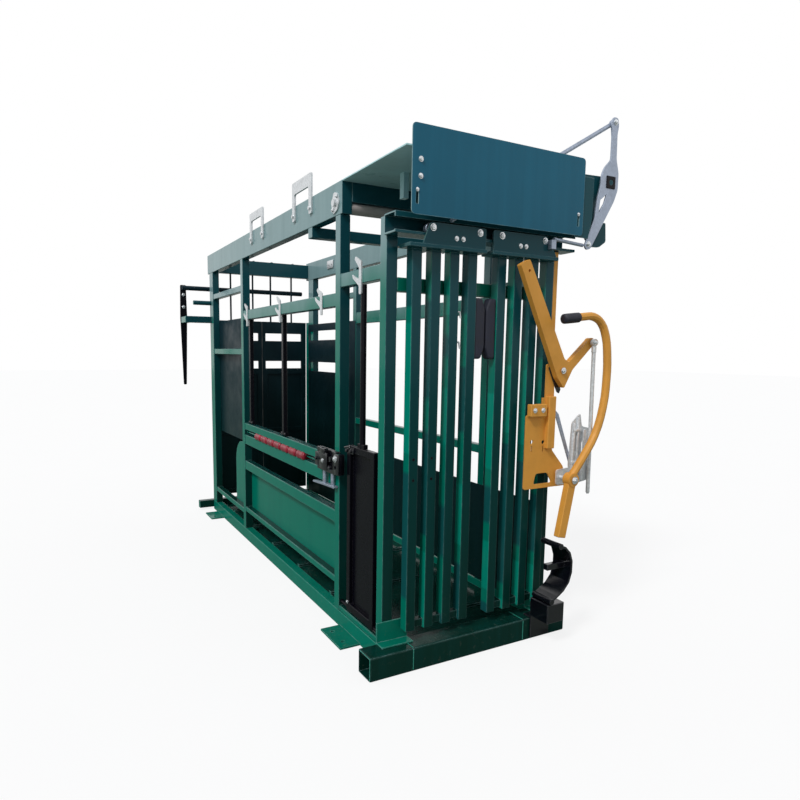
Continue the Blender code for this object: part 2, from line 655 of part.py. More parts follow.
# Latch bracket on the right leaf
bracket = slab("latch_bracket",
               rounded(((0.195, 0.703), (0.444, 0.702), (0.425, 0.790), (0.352, 0.870),
                        (0.350, 1.170), (0.392, 1.195), (0.388, 1.250), (0.300, 1.250),
                        (0.300, 1.030), (0.195, 1.030)), 0.010),
               "XZ", BRACKET_BACK - PLATE, PLATE,
               [ring((0.232, 0.912), 0.009, 16),
                rounded(((0.229, 0.868), (0.235, 0.868), (0.235, 0.895), (0.229, 0.895)), 0.003),
                ring((0.298, 0.908), 0.009, 16),
                rounded(((0.295, 0.864), (0.301, 0.864), (0.301, 0.891), (0.295, 0.891)), 0.003),
                rounded(((0.250, 0.722), (0.360, 0.722), (0.330, 0.770), (0.262, 0.770)), 0.012)])
BRACKET_IN = BRACKET_BACK - 0.003
weld(bracket,
     box("bracket_channel", (0.304, -0.078, 0.880), (0.346, BRACKET_IN, 1.110)),
     box("bracket_cleat", (0.200, -0.080, 1.024), (0.292, BRACKET_IN, 1.078)),
     box("spacer_high", (0.238, -0.0525, 0.985), (0.271, LEAF_FRONT - GAP, 1.020), 0.001),
     box("spacer_low", (0.238, -0.0525, 0.790), (0.271, LEAF_FRONT - GAP, 0.840), 0.001),
     box("spacer_side", (0.324, -0.0525, 0.920), (0.346, LEAF_FRONT - GAP, 1.100), 0.001),
     round_bar("neck_pivot_pin", (NECK_PIVOT[0], BRACKET_IN, NECK_PIVOT[1]),
               (NECK_PIVOT[0], NECK_BACK - NECK_THICK - 0.006, NECK_PIVOT[1]), PIVOT_RADIUS))
paint(bracket, "yellow")
hang(bracket, leaf_axis["right"])

# Neck bar: a bent flat arm with its short crank
neck_axis = axis_point("neck_bar_axis", (NECK_PIVOT[0], NECK_BACK, NECK_PIVOT[1]), leaf_axis["right"])
neck_bar = slab("neck_bar",
                rounded(((0.104, 1.655), (0.152, 1.679), (0.372, 1.272), (0.398, 1.258),
                         (0.520, 1.362), (0.541, 1.334), (0.422, 1.226), (0.375, 1.144),
                         (0.335, 1.190)), 0.008),
                "XZ", NECK_BACK - NECK_THICK, NECK_THICK,
                [ring((0.152, 1.632), 0.006, 12), ring(NECK_PIVOT, PIVOT_RADIUS + GAP, 20)], 0.002)
weld(neck_bar,
     round_bar("crank_eye", (NECK_PIN[0], NECK_BACK - 0.001, NECK_PIN[1]),
               (NECK_PIN[0], NECK_BACK - NECK_THICK + 0.001, NECK_PIN[1]), 0.021),
     round_bar("crank_pin", (NECK_PIN[0], NECK_BACK - 0.010, NECK_PIN[1]),
               (NECK_PIN[0], ROD_Y - 0.010, NECK_PIN[1]), 0.007, 16))
paint(neck_bar, "yellow")
hang(neck_bar, neck_axis)

# Pull rod hung from the crank
rod_axis = axis_point("pull_rod_axis", (NECK_PIN[0], ROD_Y, NECK_PIN[1]), neck_axis)
EYE = 0.007
pull_rod = slab("pull_rod", ring(NECK_PIN, 0.016, 24), "XZ", ROD_Y - EYE, 2 * EYE,
                [ring(NECK_PIN, 0.007 + GAP, 20)])
rod_line = Vector((ROD_END[0] - NECK_PIN[0], 0, ROD_END[1] - NECK_PIN[1])).normalized()
rod_top = Vector((NECK_PIN[0], ROD_Y, NECK_PIN[1])) + rod_line * 0.012
weld(pull_rod, round_bar("rod_stem", rod_top, (ROD_END[0], ROD_Y, ROD_END[1]), ROD_RADIUS, 16))
paint(pull_rod, "galvanised")
hang(pull_rod, rod_axis)

# Latch plates that carry the handle pivot
latch = slab("latch_plates",
             rounded(((0.440, 0.795), (0.452, 0.990), (0.500, 1.030), (0.512, 0.970),
                      (0.560, 0.960), (0.566, 0.720), (0.470, 0.706)), 0.012),
             "XZ", -0.074, PLATE,
             [rounded(((0.470, 0.860), (0.480, 0.860), (0.480, 0.940), (0.470, 0.940)), 0.004),
              rounded(((0.515, 0.780), (0.528, 0.780), (0.528, 0.900), (0.515, 0.900)), 0.005)])
weld(latch,
     slab("latch_foot", rounded(((0.370, 0.712), (0.500, 0.712), (0.500, 0.790), (0.370, 0.780)), 0.012),
          "XZ", -0.0735, PLATE + 0.001),
     box("latch_spacer", (0.385, -0.070, 0.716), (0.412, BRACKET_BACK - PLATE - GAP, 0.776), 0.001),
     slab("latch_cheek", rounded(((0.500, 0.722), (0.556, 0.730), (0.552, 0.950), (0.508, 0.960)), 0.012),
          "XZ", -0.092, PLATE),
     round_bar("latch_stay", (0.530, -0.090, 0.755), (0.530, -0.070, 0.755), 0.008, 12),
     round_bar("handle_pin", (HANDLE_PIVOT[0], -0.071, HANDLE_PIVOT[1]),
               (HANDLE_PIVOT[0], HANDLE_Y - 0.024, HANDLE_PIVOT[1]), PIVOT_RADIUS))
paint(latch, "galvanised")
hang(latch, leaf_axis["right"])

# Bent handle with its lower lever
handle_axis = axis_point("handle_axis", (HANDLE_PIVOT[0], HANDLE_Y, HANDLE_PIVOT[1]),
                         leaf_axis["right"])
BEND = ((0.320, 1.441), (0.378, 1.447), (0.425, 1.453), (0.485, 1.455), (0.534, 1.430),
        (0.568, 1.372), (0.584, 1.290), (0.588, 1.185), (0.575, 1.060), (0.532, 0.935),
        (0.462, 0.835), (0.405, 0.765))
handle = tube("handle", [(x, HANDLE_Y, z) for x, z in BEND], HANDLE_RADIUS, 3, 3)
LOWER_END = (0.347, 0.492)
lower = Vector((LOWER_END[0] - HANDLE_PIVOT[0], LOWER_END[1] - HANDLE_PIVOT[1])).normalized()
across = Vector((-lower.y, lower.x)) * 0.0225
corners = []
for spot, sign in ((HANDLE_PIVOT, -1), (LOWER_END, -1), (LOWER_END, 1), (HANDLE_PIVOT, 1)):
    corners.append((spot[0] + sign * across.x, spot[1] + sign * across.y))
weld(handle,
     slab("handle_lower", corners, "XZ", HANDLE_Y - 0.0155, 0.031, (), 0.003),
     round_bar("handle_hub", (HANDLE_PIVOT[0], HANDLE_Y - 0.019, HANDLE_PIVOT[1]),
               (HANDLE_PIVOT[0], HANDLE_Y + 0.019, HANDLE_PIVOT[1]), 0.030, 24))
cut(handle, round_bar("handle_bore", (HANDLE_PIVOT[0], HANDLE_Y - 0.05, HANDLE_PIVOT[1]),
                      (HANDLE_PIVOT[0], HANDLE_Y + 0.05, HANDLE_PIVOT[1]), PIVOT_RADIUS + GAP))
paint(handle, "yellow")
hang(handle, handle_axis)

grip_start = Vector((BEND[0][0], HANDLE_Y, BEND[0][1]))
grip_along = (Vector((BEND[1][0], HANDLE_Y, BEND[1][1])) - grip_start).normalized()
GRIP_OUT = HANDLE_RADIUS + GRIP_WALL
GRIP_LONG = 0.072
grip_bore = HANDLE_RADIUS + 0.0006
grip = turned("handle_grip",
              ((grip_bore, GRIP_LONG), (GRIP_OUT - 0.001, GRIP_LONG), (GRIP_OUT, GRIP_LONG - 0.002),
               (GRIP_OUT, -0.001), (GRIP_OUT - 0.002, -0.004), (grip_bore, -0.004)),
              grip_start, grip_along)
paint(grip, "rubber")
hang(grip, handle_axis)

# Black curved strap between the beam clamp and the handle's lower end
STRAP_BACK = -0.057
STRAP_FRONT = -0.165
STRAP_HALF = 0.0045
LINE = ((0.322, 0.462), (0.352, 0.452), (0.380, 0.424), (0.394, 0.385), (0.394, 0.335),
        (0.380, 0.292), (0.350, 0.258), (0.315, 0.236), (0.290, 0.222))
outer = []
inner = []
for index, spot in enumerate(LINE):
    before = Vector(LINE[max(index - 1, 0)])
    after = Vector(LINE[min(index + 1, len(LINE) - 1)])
    along = (after - before).normalized()
    side_step = Vector((-along.y, along.x)) * STRAP_HALF
    outer.append((spot[0] + side_step.x, spot[1] + side_step.y))
    inner.append((spot[0] - side_step.x, spot[1] - side_step.y))
c_strap = slab("curved_strap", outer + inner[::-1], "XZ", STRAP_FRONT, STRAP_BACK - STRAP_FRONT)
BARREL = 0.013
weld(c_strap,
     round_bar("strap_top_barrel", (0.322, STRAP_FRONT - 0.004, 0.462),
               (0.322, STRAP_BACK - 0.0005, 0.462), BARREL),
     round_bar("strap_low_barrel", (0.282, STRAP_FRONT - 0.004, 0.218),
               (0.282, STRAP_BACK - 0.0005, 0.218), BARREL),
     box("strap_tab", (0.290, -0.125, 0.344), (0.3925, -0.100, 0.372), 0.002))
paint(c_strap, "black")

CLAMP_TOP = 0.218 - BARREL - GAP
clamp = box("beam_clamp", (0.262, STRAP_FRONT, 0.118), (0.360, -BEAM / 2 - GAP - PLATE, CLAMP_TOP), 0.003)
weld(clamp,
     box("clamp_face", (0.268, -BEAM / 2 - GAP - 0.010, 0.012),
         (0.380, -BEAM / 2 - GAP, CLAMP_TOP - 0.010), 0.002),
     box("clamp_roof", (0.270, -BEAM / 2 - 0.006, BEAM + GAP), (0.378, -0.008, BEAM + GAP + 0.008), 0.002))
paint(clamp, "black")

# Bracket, lever and rods over the gate
P_X, P_Z = LEVER_PIVOT
lever_bracket = slab("lever_bracket",
                     rounded(((INNER, P_Z - 0.056), (P_X - 0.115, P_Z - 0.052), (P_X - 0.115, P_Z - 0.240),
                              (P_X - 0.079, P_Z - 0.277), (P_X - 0.025, P_Z - 0.275),
                              (P_X + 0.016, P_Z - 0.248), (P_X + 0.009, P_Z - 0.166),
                              (P_X - 0.057, P_Z - 0.173), (P_X - 0.049, P_Z - 0.040),
                              (P_X + 0.034, P_Z - 0.036), (P_X + 0.034, P_Z + 0.030),
                              (INNER, P_Z + 0.020)), 0.008),
                     "XZ", -0.055, 0.008)
PIN_RADIUS = 0.012
weld(lever_bracket,
     round_bar("lever_pin", (P_X, -0.050, P_Z),
               (P_X, LEVER_BACK - LEVER_THICK - 0.002, P_Z), PIN_RADIUS),
     box("panel_spacer", (INNER + 0.006, PANEL_BACK + GAP, P_Z - 0.044),
         (INNER + 0.036, -0.052, P_Z + 0.008), 0.001))
paint(lever_bracket, "bright_green")

lever_axis = axis_point("sync_lever_axis", (LEVER_PIVOT[0], LEVER_BACK, LEVER_PIVOT[1]))
LEVER_OUTLINE = ((-0.139, -0.280), (-0.128, -0.297), (-0.104, -0.292), (-0.090, -0.270),
                 (0.027, -0.078), (0.047, -0.027), (0.047, 0.045), (0.030, 0.100), (0.027, 0.205),
                 (0.034, 0.240), (0.028, 0.272), (0.000, 0.274), (-0.014, 0.252), (-0.004, 0.190),
                 (-0.004, 0.095), (-0.040, 0.060), (-0.055, 0.030), (-0.062, -0.025),
                 (-0.075, -0.073), (-0.083, -0.125), (-0.086, -0.160))
LEVER_WINDOW = ((-0.020, -0.052), (-0.034, -0.092), (-0.064, -0.136), (-0.057, -0.080))
SHAFT_FIT = 1 - 2 * GAP / SQUARE_HOLE
square_half = SQUARE_HOLE / 2
square = []
for across_x, across_z in ((-1, -1), (1, -1), (1, 1), (-1, 1)):
    square.append((P_X + across_x * square_half, P_Z + across_z * square_half))
sync_lever = slab("sync_lever",
                  rounded([(P_X + x, P_Z + z) for x, z in LEVER_OUTLINE], 0.010, 2),
                  "XZ", LEVER_BACK - LEVER_THICK, LEVER_THICK,
                  [square, rounded([(P_X + x, P_Z + z) for x, z in LEVER_WINDOW], 0.003, 2)], 0.001)
weld(sync_lever, round_bar("lever_top_pin", (LEVER_TOP_PIN[0], LEVER_BACK - 0.004, LEVER_TOP_PIN[1]),
                           (LEVER_TOP_PIN[0], LINK_Y + 0.009, LEVER_TOP_PIN[1]), 0.006, 16))
paint(sync_lever, "galvanised")
hang(sync_lever, lever_axis)

lever_shaft = slab("lever_shaft",
                   [(P_X + (x - P_X) * SHAFT_FIT, P_Z + (z - P_Z) * SHAFT_FIT) for x, z in square],
                   "XZ", LEVER_BACK - LEVER_THICK - 0.004, 0.0197 + LEVER_THICK,
                   [ring(LEVER_PIVOT, PIN_RADIUS + GAP, 20)], 0.001)
paint(lever_shaft, "green")
hang(lever_shaft, lever_axis)

link_axis = axis_point("link_rod_axis", (LEVER_TOP_PIN[0], LINK_Y, LEVER_TOP_PIN[1]), lever_axis)
link_rod = slab("link_rod", ring(LEVER_TOP_PIN, 0.015, 24), "XZ", LINK_Y - 0.0076, 0.0152,
                [ring(LEVER_TOP_PIN, 0.006 + GAP, 20)])
link_line = Vector((LINK_END[0] - LEVER_TOP_PIN[0], 0, LINK_END[1] - LEVER_TOP_PIN[1])).normalized()
link_top = Vector((LEVER_TOP_PIN[0], LINK_Y, LEVER_TOP_PIN[1])) + link_line * 0.010
weld(link_rod, round_bar("link_stem", link_top, (LINK_END[0], LINK_Y, LINK_END[1]), LINK_RADIUS, 16))
paint(link_rod, "galvanised")
hang(link_rod, link_axis)

STUB_Z = TRACK_LOW + 0.037
stub = round_bar("stub_rod", (0.300, LINK_Y, STUB_Z), (0.470, LINK_Y, STUB_Z - 0.011), LINK_RADIUS, 16)
weld(stub,
     box("stub_foot", (0.285, LINK_Y - 0.007, STUB_Z - 0.042), (0.310, HANGER_FRONT - GAP, STUB_Z - 0.004),
         0.001))
paint(stub, "galvanised")
hang(stub, leaf_axis["right"])

# Left side: drop-down door, its rod and the drop bars
door_axis = axis_point("side_door_axis", (DOOR_AXIS[0], 0.265, DOOR_AXIS[1]))
DOOR = (0.140, 0.390, 0.110, 0.880)
FRAME_BAR = 0.030
door = slab("side_door_left",
            rounded(((DOOR[0], DOOR[2]), (DOOR[1], DOOR[2]), (DOOR[1], DOOR[3]),
                     (DOOR[0], DOOR[3])), 0.008),
            "YZ", DOOR_AXIS[0] - 0.013, 0.026,
            [rounded(((DOOR[0] + FRAME_BAR, DOOR[2] + 0.035), (DOOR[1] - FRAME_BAR, DOOR[2] + 0.035),
                      (DOOR[1] - FRAME_BAR, DOOR[3] - FRAME_BAR),
                      (DOOR[0] + FRAME_BAR, DOOR[3] - FRAME_BAR)), 0.008)], 0.002)
weld(door,
     box("door_sheet", (DOOR_AXIS[0] + 0.004, DOOR[0] + 0.012, DOOR[2] + 0.012),
         (DOOR_AXIS[0] + 0.008, DOOR[1] - 0.012, DOOR[3] - 0.012), 0),
     round_bar("door_hinge_rod", (DOOR_AXIS[0], SIDE_START + POST + GAP, DOOR_AXIS[1]),
               (DOOR_AXIS[0], POST_A_Y - GAP, DOOR_AXIS[1]), 0.009))
paint(door, "black")
hang(door, door_axis)

DROP_ROD_RADIUS = 0.013
drop_rod = round_bar("drop_rod_front", (DOOR_AXIS[0], 0.265, DOOR[3] + GAP),
                     (DOOR_AXIS[0], 0.265, 1.575), DROP_ROD_RADIUS)
weld(drop_rod, box("rod_foot", (DOOR_AXIS[0] - 0.011, 0.235, DOOR[3] + 0.0005),
                   (DOOR_AXIS[0] + 0.011, 0.295, DOOR[3] + 0.020), 0.002))
paint(drop_rod, "black")
hang(drop_rod, door_axis)

LATCH_OUT = -HALF_WIDTH + RAIL_INSET - GAP


def side_latch(name, middle, inner_face, low, high, carrier):
    """A plate that snaps over the outer face of the rail above a bar."""
    outline = rounded(((middle - 0.010, low), (middle + 0.010, low), (middle + 0.012, low + 0.035),
                       (middle + 0.066, low + 0.070), (middle + 0.074, low + 0.088),
                       (middle + 0.012, low + 0.062), (middle + 0.010, high - 0.046),
                       (middle + 0.050, high - 0.008), (middle + 0.044, high + 0.004),
                       (middle - 0.010, high - 0.022)), 0.004, 2)
    plate = slab(name, outline, "YZ", LATCH_OUT - PLATE, PLATE)
    weld(plate, box(name + "_block", (LATCH_OUT - 0.003, middle - 0.009, low + 0.002),
                    (inner_face - GAP, middle + 0.009, low + 0.030), 0.001))
    paint(plate, "galvanised")
    hang(plate, carrier)


side_latch("drop_latch_front", 0.265, DOOR_AXIS[0] - DROP_ROD_RADIUS, 1.535, 1.690, door_axis)

for middle, word in ((1.242, "middle"), (1.860, "rear")):
    bar_axis = axis_point("drop_bar_axis_" + word, (BAR_AXIS_X, middle, BAR_AXIS_Z))
    bar = box("drop_bar_" + word, (BAR_AXIS_X - BAR_HALF, middle - 0.014, BAR_AXIS_Z),
              (BAR_AXIS_X + BAR_HALF, middle + 0.014, BAR_TOP), 0.002)
    weld(bar, round_bar("bar_barrel_" + word, (BAR_AXIS_X, middle - 0.035, BAR_AXIS_Z),
                        (BAR_AXIS_X, middle + 0.035, BAR_AXIS_Z), BAR_HALF + 0.0002, 20))
    paint(bar, "black")
    hang(bar, bar_axis)
    side_latch("drop_latch_" + word, middle, BAR_AXIS_X - BAR_HALF, 1.455, 1.600, bar_axis)

BLOCK_OUT = -HALF_WIDTH - 0.0253
block = box("latch_block", (BLOCK_OUT, 0.450, 0.730), (-HALF_WIDTH - GAP, 0.660, 0.840), 0.004, 2)
weld(block, round_bar("block_bolt", (BLOCK_OUT + 0.002, 0.495, 0.800),
                      (BLOCK_OUT - 0.010, 0.495, 0.800), 0.012, 16))
paint(block, "black")

# Red ribbed sleeve on its rod
SLEEVE_START = 0.880
LOBES = 7
LOBE = 0.120
sleeve_bore = SLEEVE_ROD + GAP
sleeve_profile = []
for index in range(LOBES):
    foot = index * LOBE
    sleeve_profile.append((0.0115, foot))
    sleeve_profile.append((0.0165, foot + 0.014))
    sleeve_profile.append((0.0165, foot + LOBE - 0.014))
sleeve_profile.append((0.0115, LOBES * LOBE))
profile = [(sleeve_bore, LOBES * LOBE)] + sleeve_profile[::-1] + [(sleeve_bore, 0.0)]
sleeve = turned("bumper_sleeve", profile, (BAR_AXIS_X, SLEEVE_START, SLEEVE_Z), (0, 1, 0), 20)
paint(sleeve, "red")

# Rear gate leaves and the lever that works them
REAR_BACK = REAR_LEAF_FRONT + REAR_LEAF_DEEP
REAR_SLOTS = ((1.149, 1.211), (1.380, 1.443))
ROD_BACK = 2.960
HOOK_WIDE = 0.014
TOP_ROD_Z = 1.787
for side, word in ((-1, "left"), (1, "right")):
    rear_axis = axis_point("rear_slide_" + word, (side * 0.20, REAR_LEAF_FRONT, RAIL_TOP))
    inner_x = 0.003
    outline = [(side * inner_x, REAR_LEAF_LOW), (side * REAR_LEAF_HALF, REAR_LEAF_LOW),
               (side * REAR_LEAF_HALF, REAR_LEAF_TOP), (side * inner_x, REAR_LEAF_TOP)]
    windows = []
    far = REAR_LEAF_HALF - 0.040
    for low, high in ((0.140, 0.600), (0.640, 1.100)):
        windows.append([(side * 0.043, low), (side * far, low), (side * far, high), (side * 0.043, high)])
    for low, high in REAR_SLOTS:
        windows.append([(side * 0.030, low), (side * far, low), (side * far, high), (side * 0.030, high)])
    rear_leaf = slab("rear_leaf_" + word, outline, "XZ", REAR_LEAF_FRONT, REAR_LEAF_DEEP, windows, 0.002)
    sheet_edges = sorted((side * 0.010, side * (REAR_LEAF_HALF - 0.007)))
    weld(rear_leaf, box("rear_sheet_" + word, (sheet_edges[0], REAR_LEAF_FRONT + 0.010, 0.110),
                        (sheet_edges[1], REAR_LEAF_FRONT + 0.014, 1.120), 0))
    for number, near in enumerate((0.070, 0.255)):
        reach = sorted((side * near, side * (near + HOOK_WIDE)))
        weld(rear_leaf,
             box(f"rear_hook_{word}_{number}", (reach[0], REAR_LEAF_FRONT + 0.001, REAR_LEAF_TOP - 0.020),
                 (reach[1], REAR_LEAF_FRONT + 0.007, REAR_HEADER_TOP + 0.0063), 0.001),
             box(f"rear_lip_{word}_{number}", (reach[0] + 0.0005, 2.865, REAR_HEADER_TOP + GAP),
                 (reach[1] - 0.0005, REAR_LEAF_FRONT + 0.0065, REAR_HEADER_TOP + 0.0060), 0.001))
    if side < 0:
        weld(rear_leaf,
             round_bar("rear_top_rod", (REAR_PIVOT[0] - 0.015, ROD_BACK, TOP_ROD_Z),
                       (INNER - 0.020, ROD_BACK, TOP_ROD_Z), 0.018),
             box("rear_rod_arm", (-0.388, REAR_BACK - 0.004, REAR_LEAF_TOP - 0.120),
                 (-0.362, REAR_BACK + 0.012, TOP_ROD_Z + 0.012), 0.002),
             box("rear_rod_block", (-0.387, REAR_BACK + 0.002, TOP_ROD_Z - 0.011),
                 (-0.363, ROD_BACK, TOP_ROD_Z + 0.011), 0.002))
    paint(rear_leaf, "green")
    hang(rear_leaf, rear_axis)

REAR_LEVER_SHAPE = ((-0.0115, -0.515), (0.0115, -0.515), (0.025, -0.035), (0.027, 0.025),
                    (0.022, 0.277), (-0.022, 0.277), (-0.027, 0.025), (-0.025, -0.035))
rear_lever_axis = axis_point("rear_lever_axis", (REAR_PIVOT[0], REAR_LEVER_Y, REAR_PIVOT[1]))
rear_lever = slab("rear_lever",
                  rounded([(REAR_PIVOT[0] + x, REAR_PIVOT[1] + z) for x, z in REAR_LEVER_SHAPE], 0.008),
                  "XZ", REAR_LEVER_Y, 0.010, [ring(REAR_PIVOT, PIVOT_RADIUS + GAP, 20)], 0.001)
paint(rear_lever, "black")
hang(rear_lever, rear_lever_axis)
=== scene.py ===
"""Dresses the deer restraint crush: paints, galvanised finishes, fasteners,
weld beads, latch pieces, neck pads, red rollers, handle details and the stage.
Metres, in the frame of the solids: +X to the right of the head gate, +Y back
along the crush, +Z up."""
import math

import bmesh
import bpy
from bpy.props import FloatProperty, FloatVectorProperty, PointerProperty
from mathutils import Matrix, Vector


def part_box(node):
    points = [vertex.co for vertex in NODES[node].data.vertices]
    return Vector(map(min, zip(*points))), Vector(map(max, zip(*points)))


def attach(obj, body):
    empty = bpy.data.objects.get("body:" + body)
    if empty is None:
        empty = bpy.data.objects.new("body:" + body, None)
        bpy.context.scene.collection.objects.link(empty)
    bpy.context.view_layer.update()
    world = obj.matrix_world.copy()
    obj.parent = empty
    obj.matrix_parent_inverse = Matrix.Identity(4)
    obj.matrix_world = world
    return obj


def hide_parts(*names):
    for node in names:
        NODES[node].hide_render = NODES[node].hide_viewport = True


bl_info = {
    "name": "Deer Restraint Crush",
    "version": (1, 0, 0),
    "blender": (4, 5, 0),
    "location": "3D View > Sidebar > Crush",
    "description": "Paints, fasteners, fittings and stage for a deer restraint crush",
    "category": "Object",
}

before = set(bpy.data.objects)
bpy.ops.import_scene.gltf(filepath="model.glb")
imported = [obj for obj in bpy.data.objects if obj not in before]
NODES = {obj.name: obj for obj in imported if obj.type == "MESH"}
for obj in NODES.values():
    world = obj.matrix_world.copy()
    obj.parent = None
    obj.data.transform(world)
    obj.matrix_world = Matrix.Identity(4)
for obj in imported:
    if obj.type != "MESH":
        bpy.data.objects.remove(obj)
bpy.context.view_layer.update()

DARK_GREEN_NODES = (
    "base_front_beam", "floor_plate", "side_frame_left", "side_frame_right",
    "kick_panel_left", "top_rail_left", "top_rail_right", "front_header",
    "rear_header", "mid_cross_tube", "gate_track", "lever_bracket", "base_rear_beam")
INSIDE_NODES = ("wall_panel_right", "infill_sheet_left", "rear_leaf_left", "rear_leaf_right")
BRIGHT_GREEN_NODES = (
    "base_rail_left", "base_rail_right", "corner_gusset_left",
    "corner_gusset_right", "arch_plate_left", "front_cross_tube")
YELLOW_NODES = ("latch_bracket", "neck_bar", "handle", "leaf_post")
NEW_ZINC_NODES = ("bearing_plate", "lift_strap_front", "lift_strap_rear",
                  "drop_latch_front", "drop_latch_middle", "drop_latch_rear",
                  "pull_rod", "latch_plates")
SILVER_NODES = (
    "roller_left_0", "roller_left_1", "roller_right_0", "roller_right_1",
    "sync_lever", "link_rod", "stub_rod")
BLACK_NODES = (
    "side_door_left", "drop_rod_front", "drop_bar_middle", "drop_bar_rear",
    "rear_lever", "lever_shaft")
RUBBER_NODES = ("neck_pad_left", "neck_pad_right", "handle_grip")

# Directions that bolts and details face
FORWARD = (0, -1, 0)
OUTWARD = (-1, 0, 0)
DOWNWARD = (0, 0, -1)

# Faces of the solids that added pieces sit on: along Y in front, along X at the side
PANEL_FACE = -0.087
HANGER_FACE = -0.0455
BRACKET_FACE = -0.0795
SYNC_LEVER_FACE = -0.0788
GUIDE_BACK = -0.0736
BEARING_FACE = -0.4533
RAIL_PLATE_FACE = 0.3890
POST_OUTER = -0.4434
POST_INNER = -0.4066

# Left side frame: the posts that each rail runs between, its lower and upper edge
FRONT_BAY = (0.1003, 0.462)
MIDDLE_BAY = (0.512, 1.954)
REAR_BAY = (2.004, 2.750)
SIDE_RAILS = (
    (FRONT_BAY, 1.580, 1.640), (MIDDLE_BAY, 1.500, 1.560), (MIDDLE_BAY, 0.765, 0.810),
    (MIDDLE_BAY, 0.665, 0.730), (MIDDLE_BAY, 0.490, 0.550), (MIDDLE_BAY, 0.195, 0.227),
    (REAR_BAY, 1.690, 1.730), (REAR_BAY, 1.269, 1.309), (REAR_BAY, 0.170, 0.205))

# Bars of a head gate leaf: middle of the first from the gap, pitch, half width,
# and the flange's edge over them as Y and Z
FIRST_BAR = 0.0765
BAR_PITCH = 0.089
BAR_HALF = 0.018
FLANGE_EDGE = (-0.0085, 1.6895)

# Linkage pins: X and Z at the link bar's two ends, full places of the others
LEVER_TOP = (0.617, 2.294)
LINK_FOOT = (-0.2188, 1.8025)
PULL_ROD_Y = -0.102
PULL_ROD_PIN = (0.530, PULL_ROD_Y, 1.345)
PULL_ROD_END = (0.539, PULL_ROD_Y, 0.663)
GRIP_START = (0.320, -0.130, 1.441)
GRIP_BEND = (0.378, -0.130, 1.447)

# Outlines of cut plates: Y and Z at the side, X and Z in front
YOKE_OUTLINE = ((0.470, 0.664), (0.600, 0.658), (0.715, 0.650), (0.720, 0.659),
                (0.600, 0.669), (0.470, 0.675))
STRUT_OUTLINE = ((0.338, 1.045), (0.354, 1.048), (0.374, 1.030), (0.462, 0.816),
                 (0.448, 0.806), (0.358, 1.014), (0.338, 1.022))
WEB_OUTLINE = ((0.402, 1.790), (0.480, 1.790), (0.500, 1.880), (0.500, 2.045),
               (0.402, 2.045))
STOP_OUTLINE = ((0.306, 1.236), (0.320, 1.240), (0.383, 1.140), (0.374, 1.120),
                (0.360, 1.128))

# One red roller from end to end: distance along it, share of its full size
ROLLER_PROFILE = (
    (0.0, 0.50), (0.003, 0.78), (0.009, 0.96), (0.020, 1.0), (0.038, 0.97), (0.053, 0.88),
    (0.068, 0.97), (0.086, 1.0), (0.097, 0.96), (0.103, 0.78), (0.106, 0.50))
ROLLER_COUNT = 7
ROLLER_GAP = 0.014
ROLLER_SIZE = (0.0135, 0.0215)

# Tones that no setting holds
WHITE = (1.0, 1.0, 1.0, 1.0)
SKY_TINT = (0.93, 0.96, 1.0, 1.0)
DUST = (0.20, 0.19, 0.15, 1.0)
BARE_STEEL = (0.52, 0.46, 0.44, 1.0)
SCUFF_YELLOW = (0.34, 0.22, 0.10, 1.0)
SCUFF_STEEL = (0.24, 0.15, 0.11, 1.0)
SCUFF_BLACK = (0.05, 0.04, 0.045, 1.0)
# Scuffs on the gloss black; its lighter edge tone is a painted highlight
GLOSS_BLACK_SCUFF_AND_GLINT = (0.16, 0.17, 0.19, 1.0)

# Paint on the frame: heights its painted light changes between, darker low down and lighter and
# bluer high up, and how its marks are drawn out
PAINT_FOOT, PAINT_TOP = 0.20, 2.25
DUST_TOP = 0.32
DUST_SHARE = 0.35
BAND_SCALE = (9.0, 0.0, 2.4)
RUN_SCALE = (14.0, 14.0, 0.8)
SATIN_SPECULAR = 0.14

PLATE_EASE = 0.001
BEAD_PITCH = 0.006
BEAD_SHORT = 0.004
FLOOR_HALF = 40.0
FLOOR_DROP = 0.0005
SUN_AIM = (1.0, 0.45, -1.15)

# Camera: place, lens and turns in degrees
CAMERA_PLACE = (-1.6284, -2.0057, 1.2958)
CAMERA_SENSOR = 36.0
CAMERA_LENS = 27.08
CAMERA_SHIFT = (0.0494, 0.0291)
CAMERA_YAW, CAMERA_PITCH, CAMERA_ROLL = 27.602, 6.776, 0.502


# Settings a user would change

def colour(title, text, value):
    """A colour setting."""
    return FloatVectorProperty(name=title, description=text, default=value, size=4,
                               subtype="COLOR", min=0.0, max=1.0)


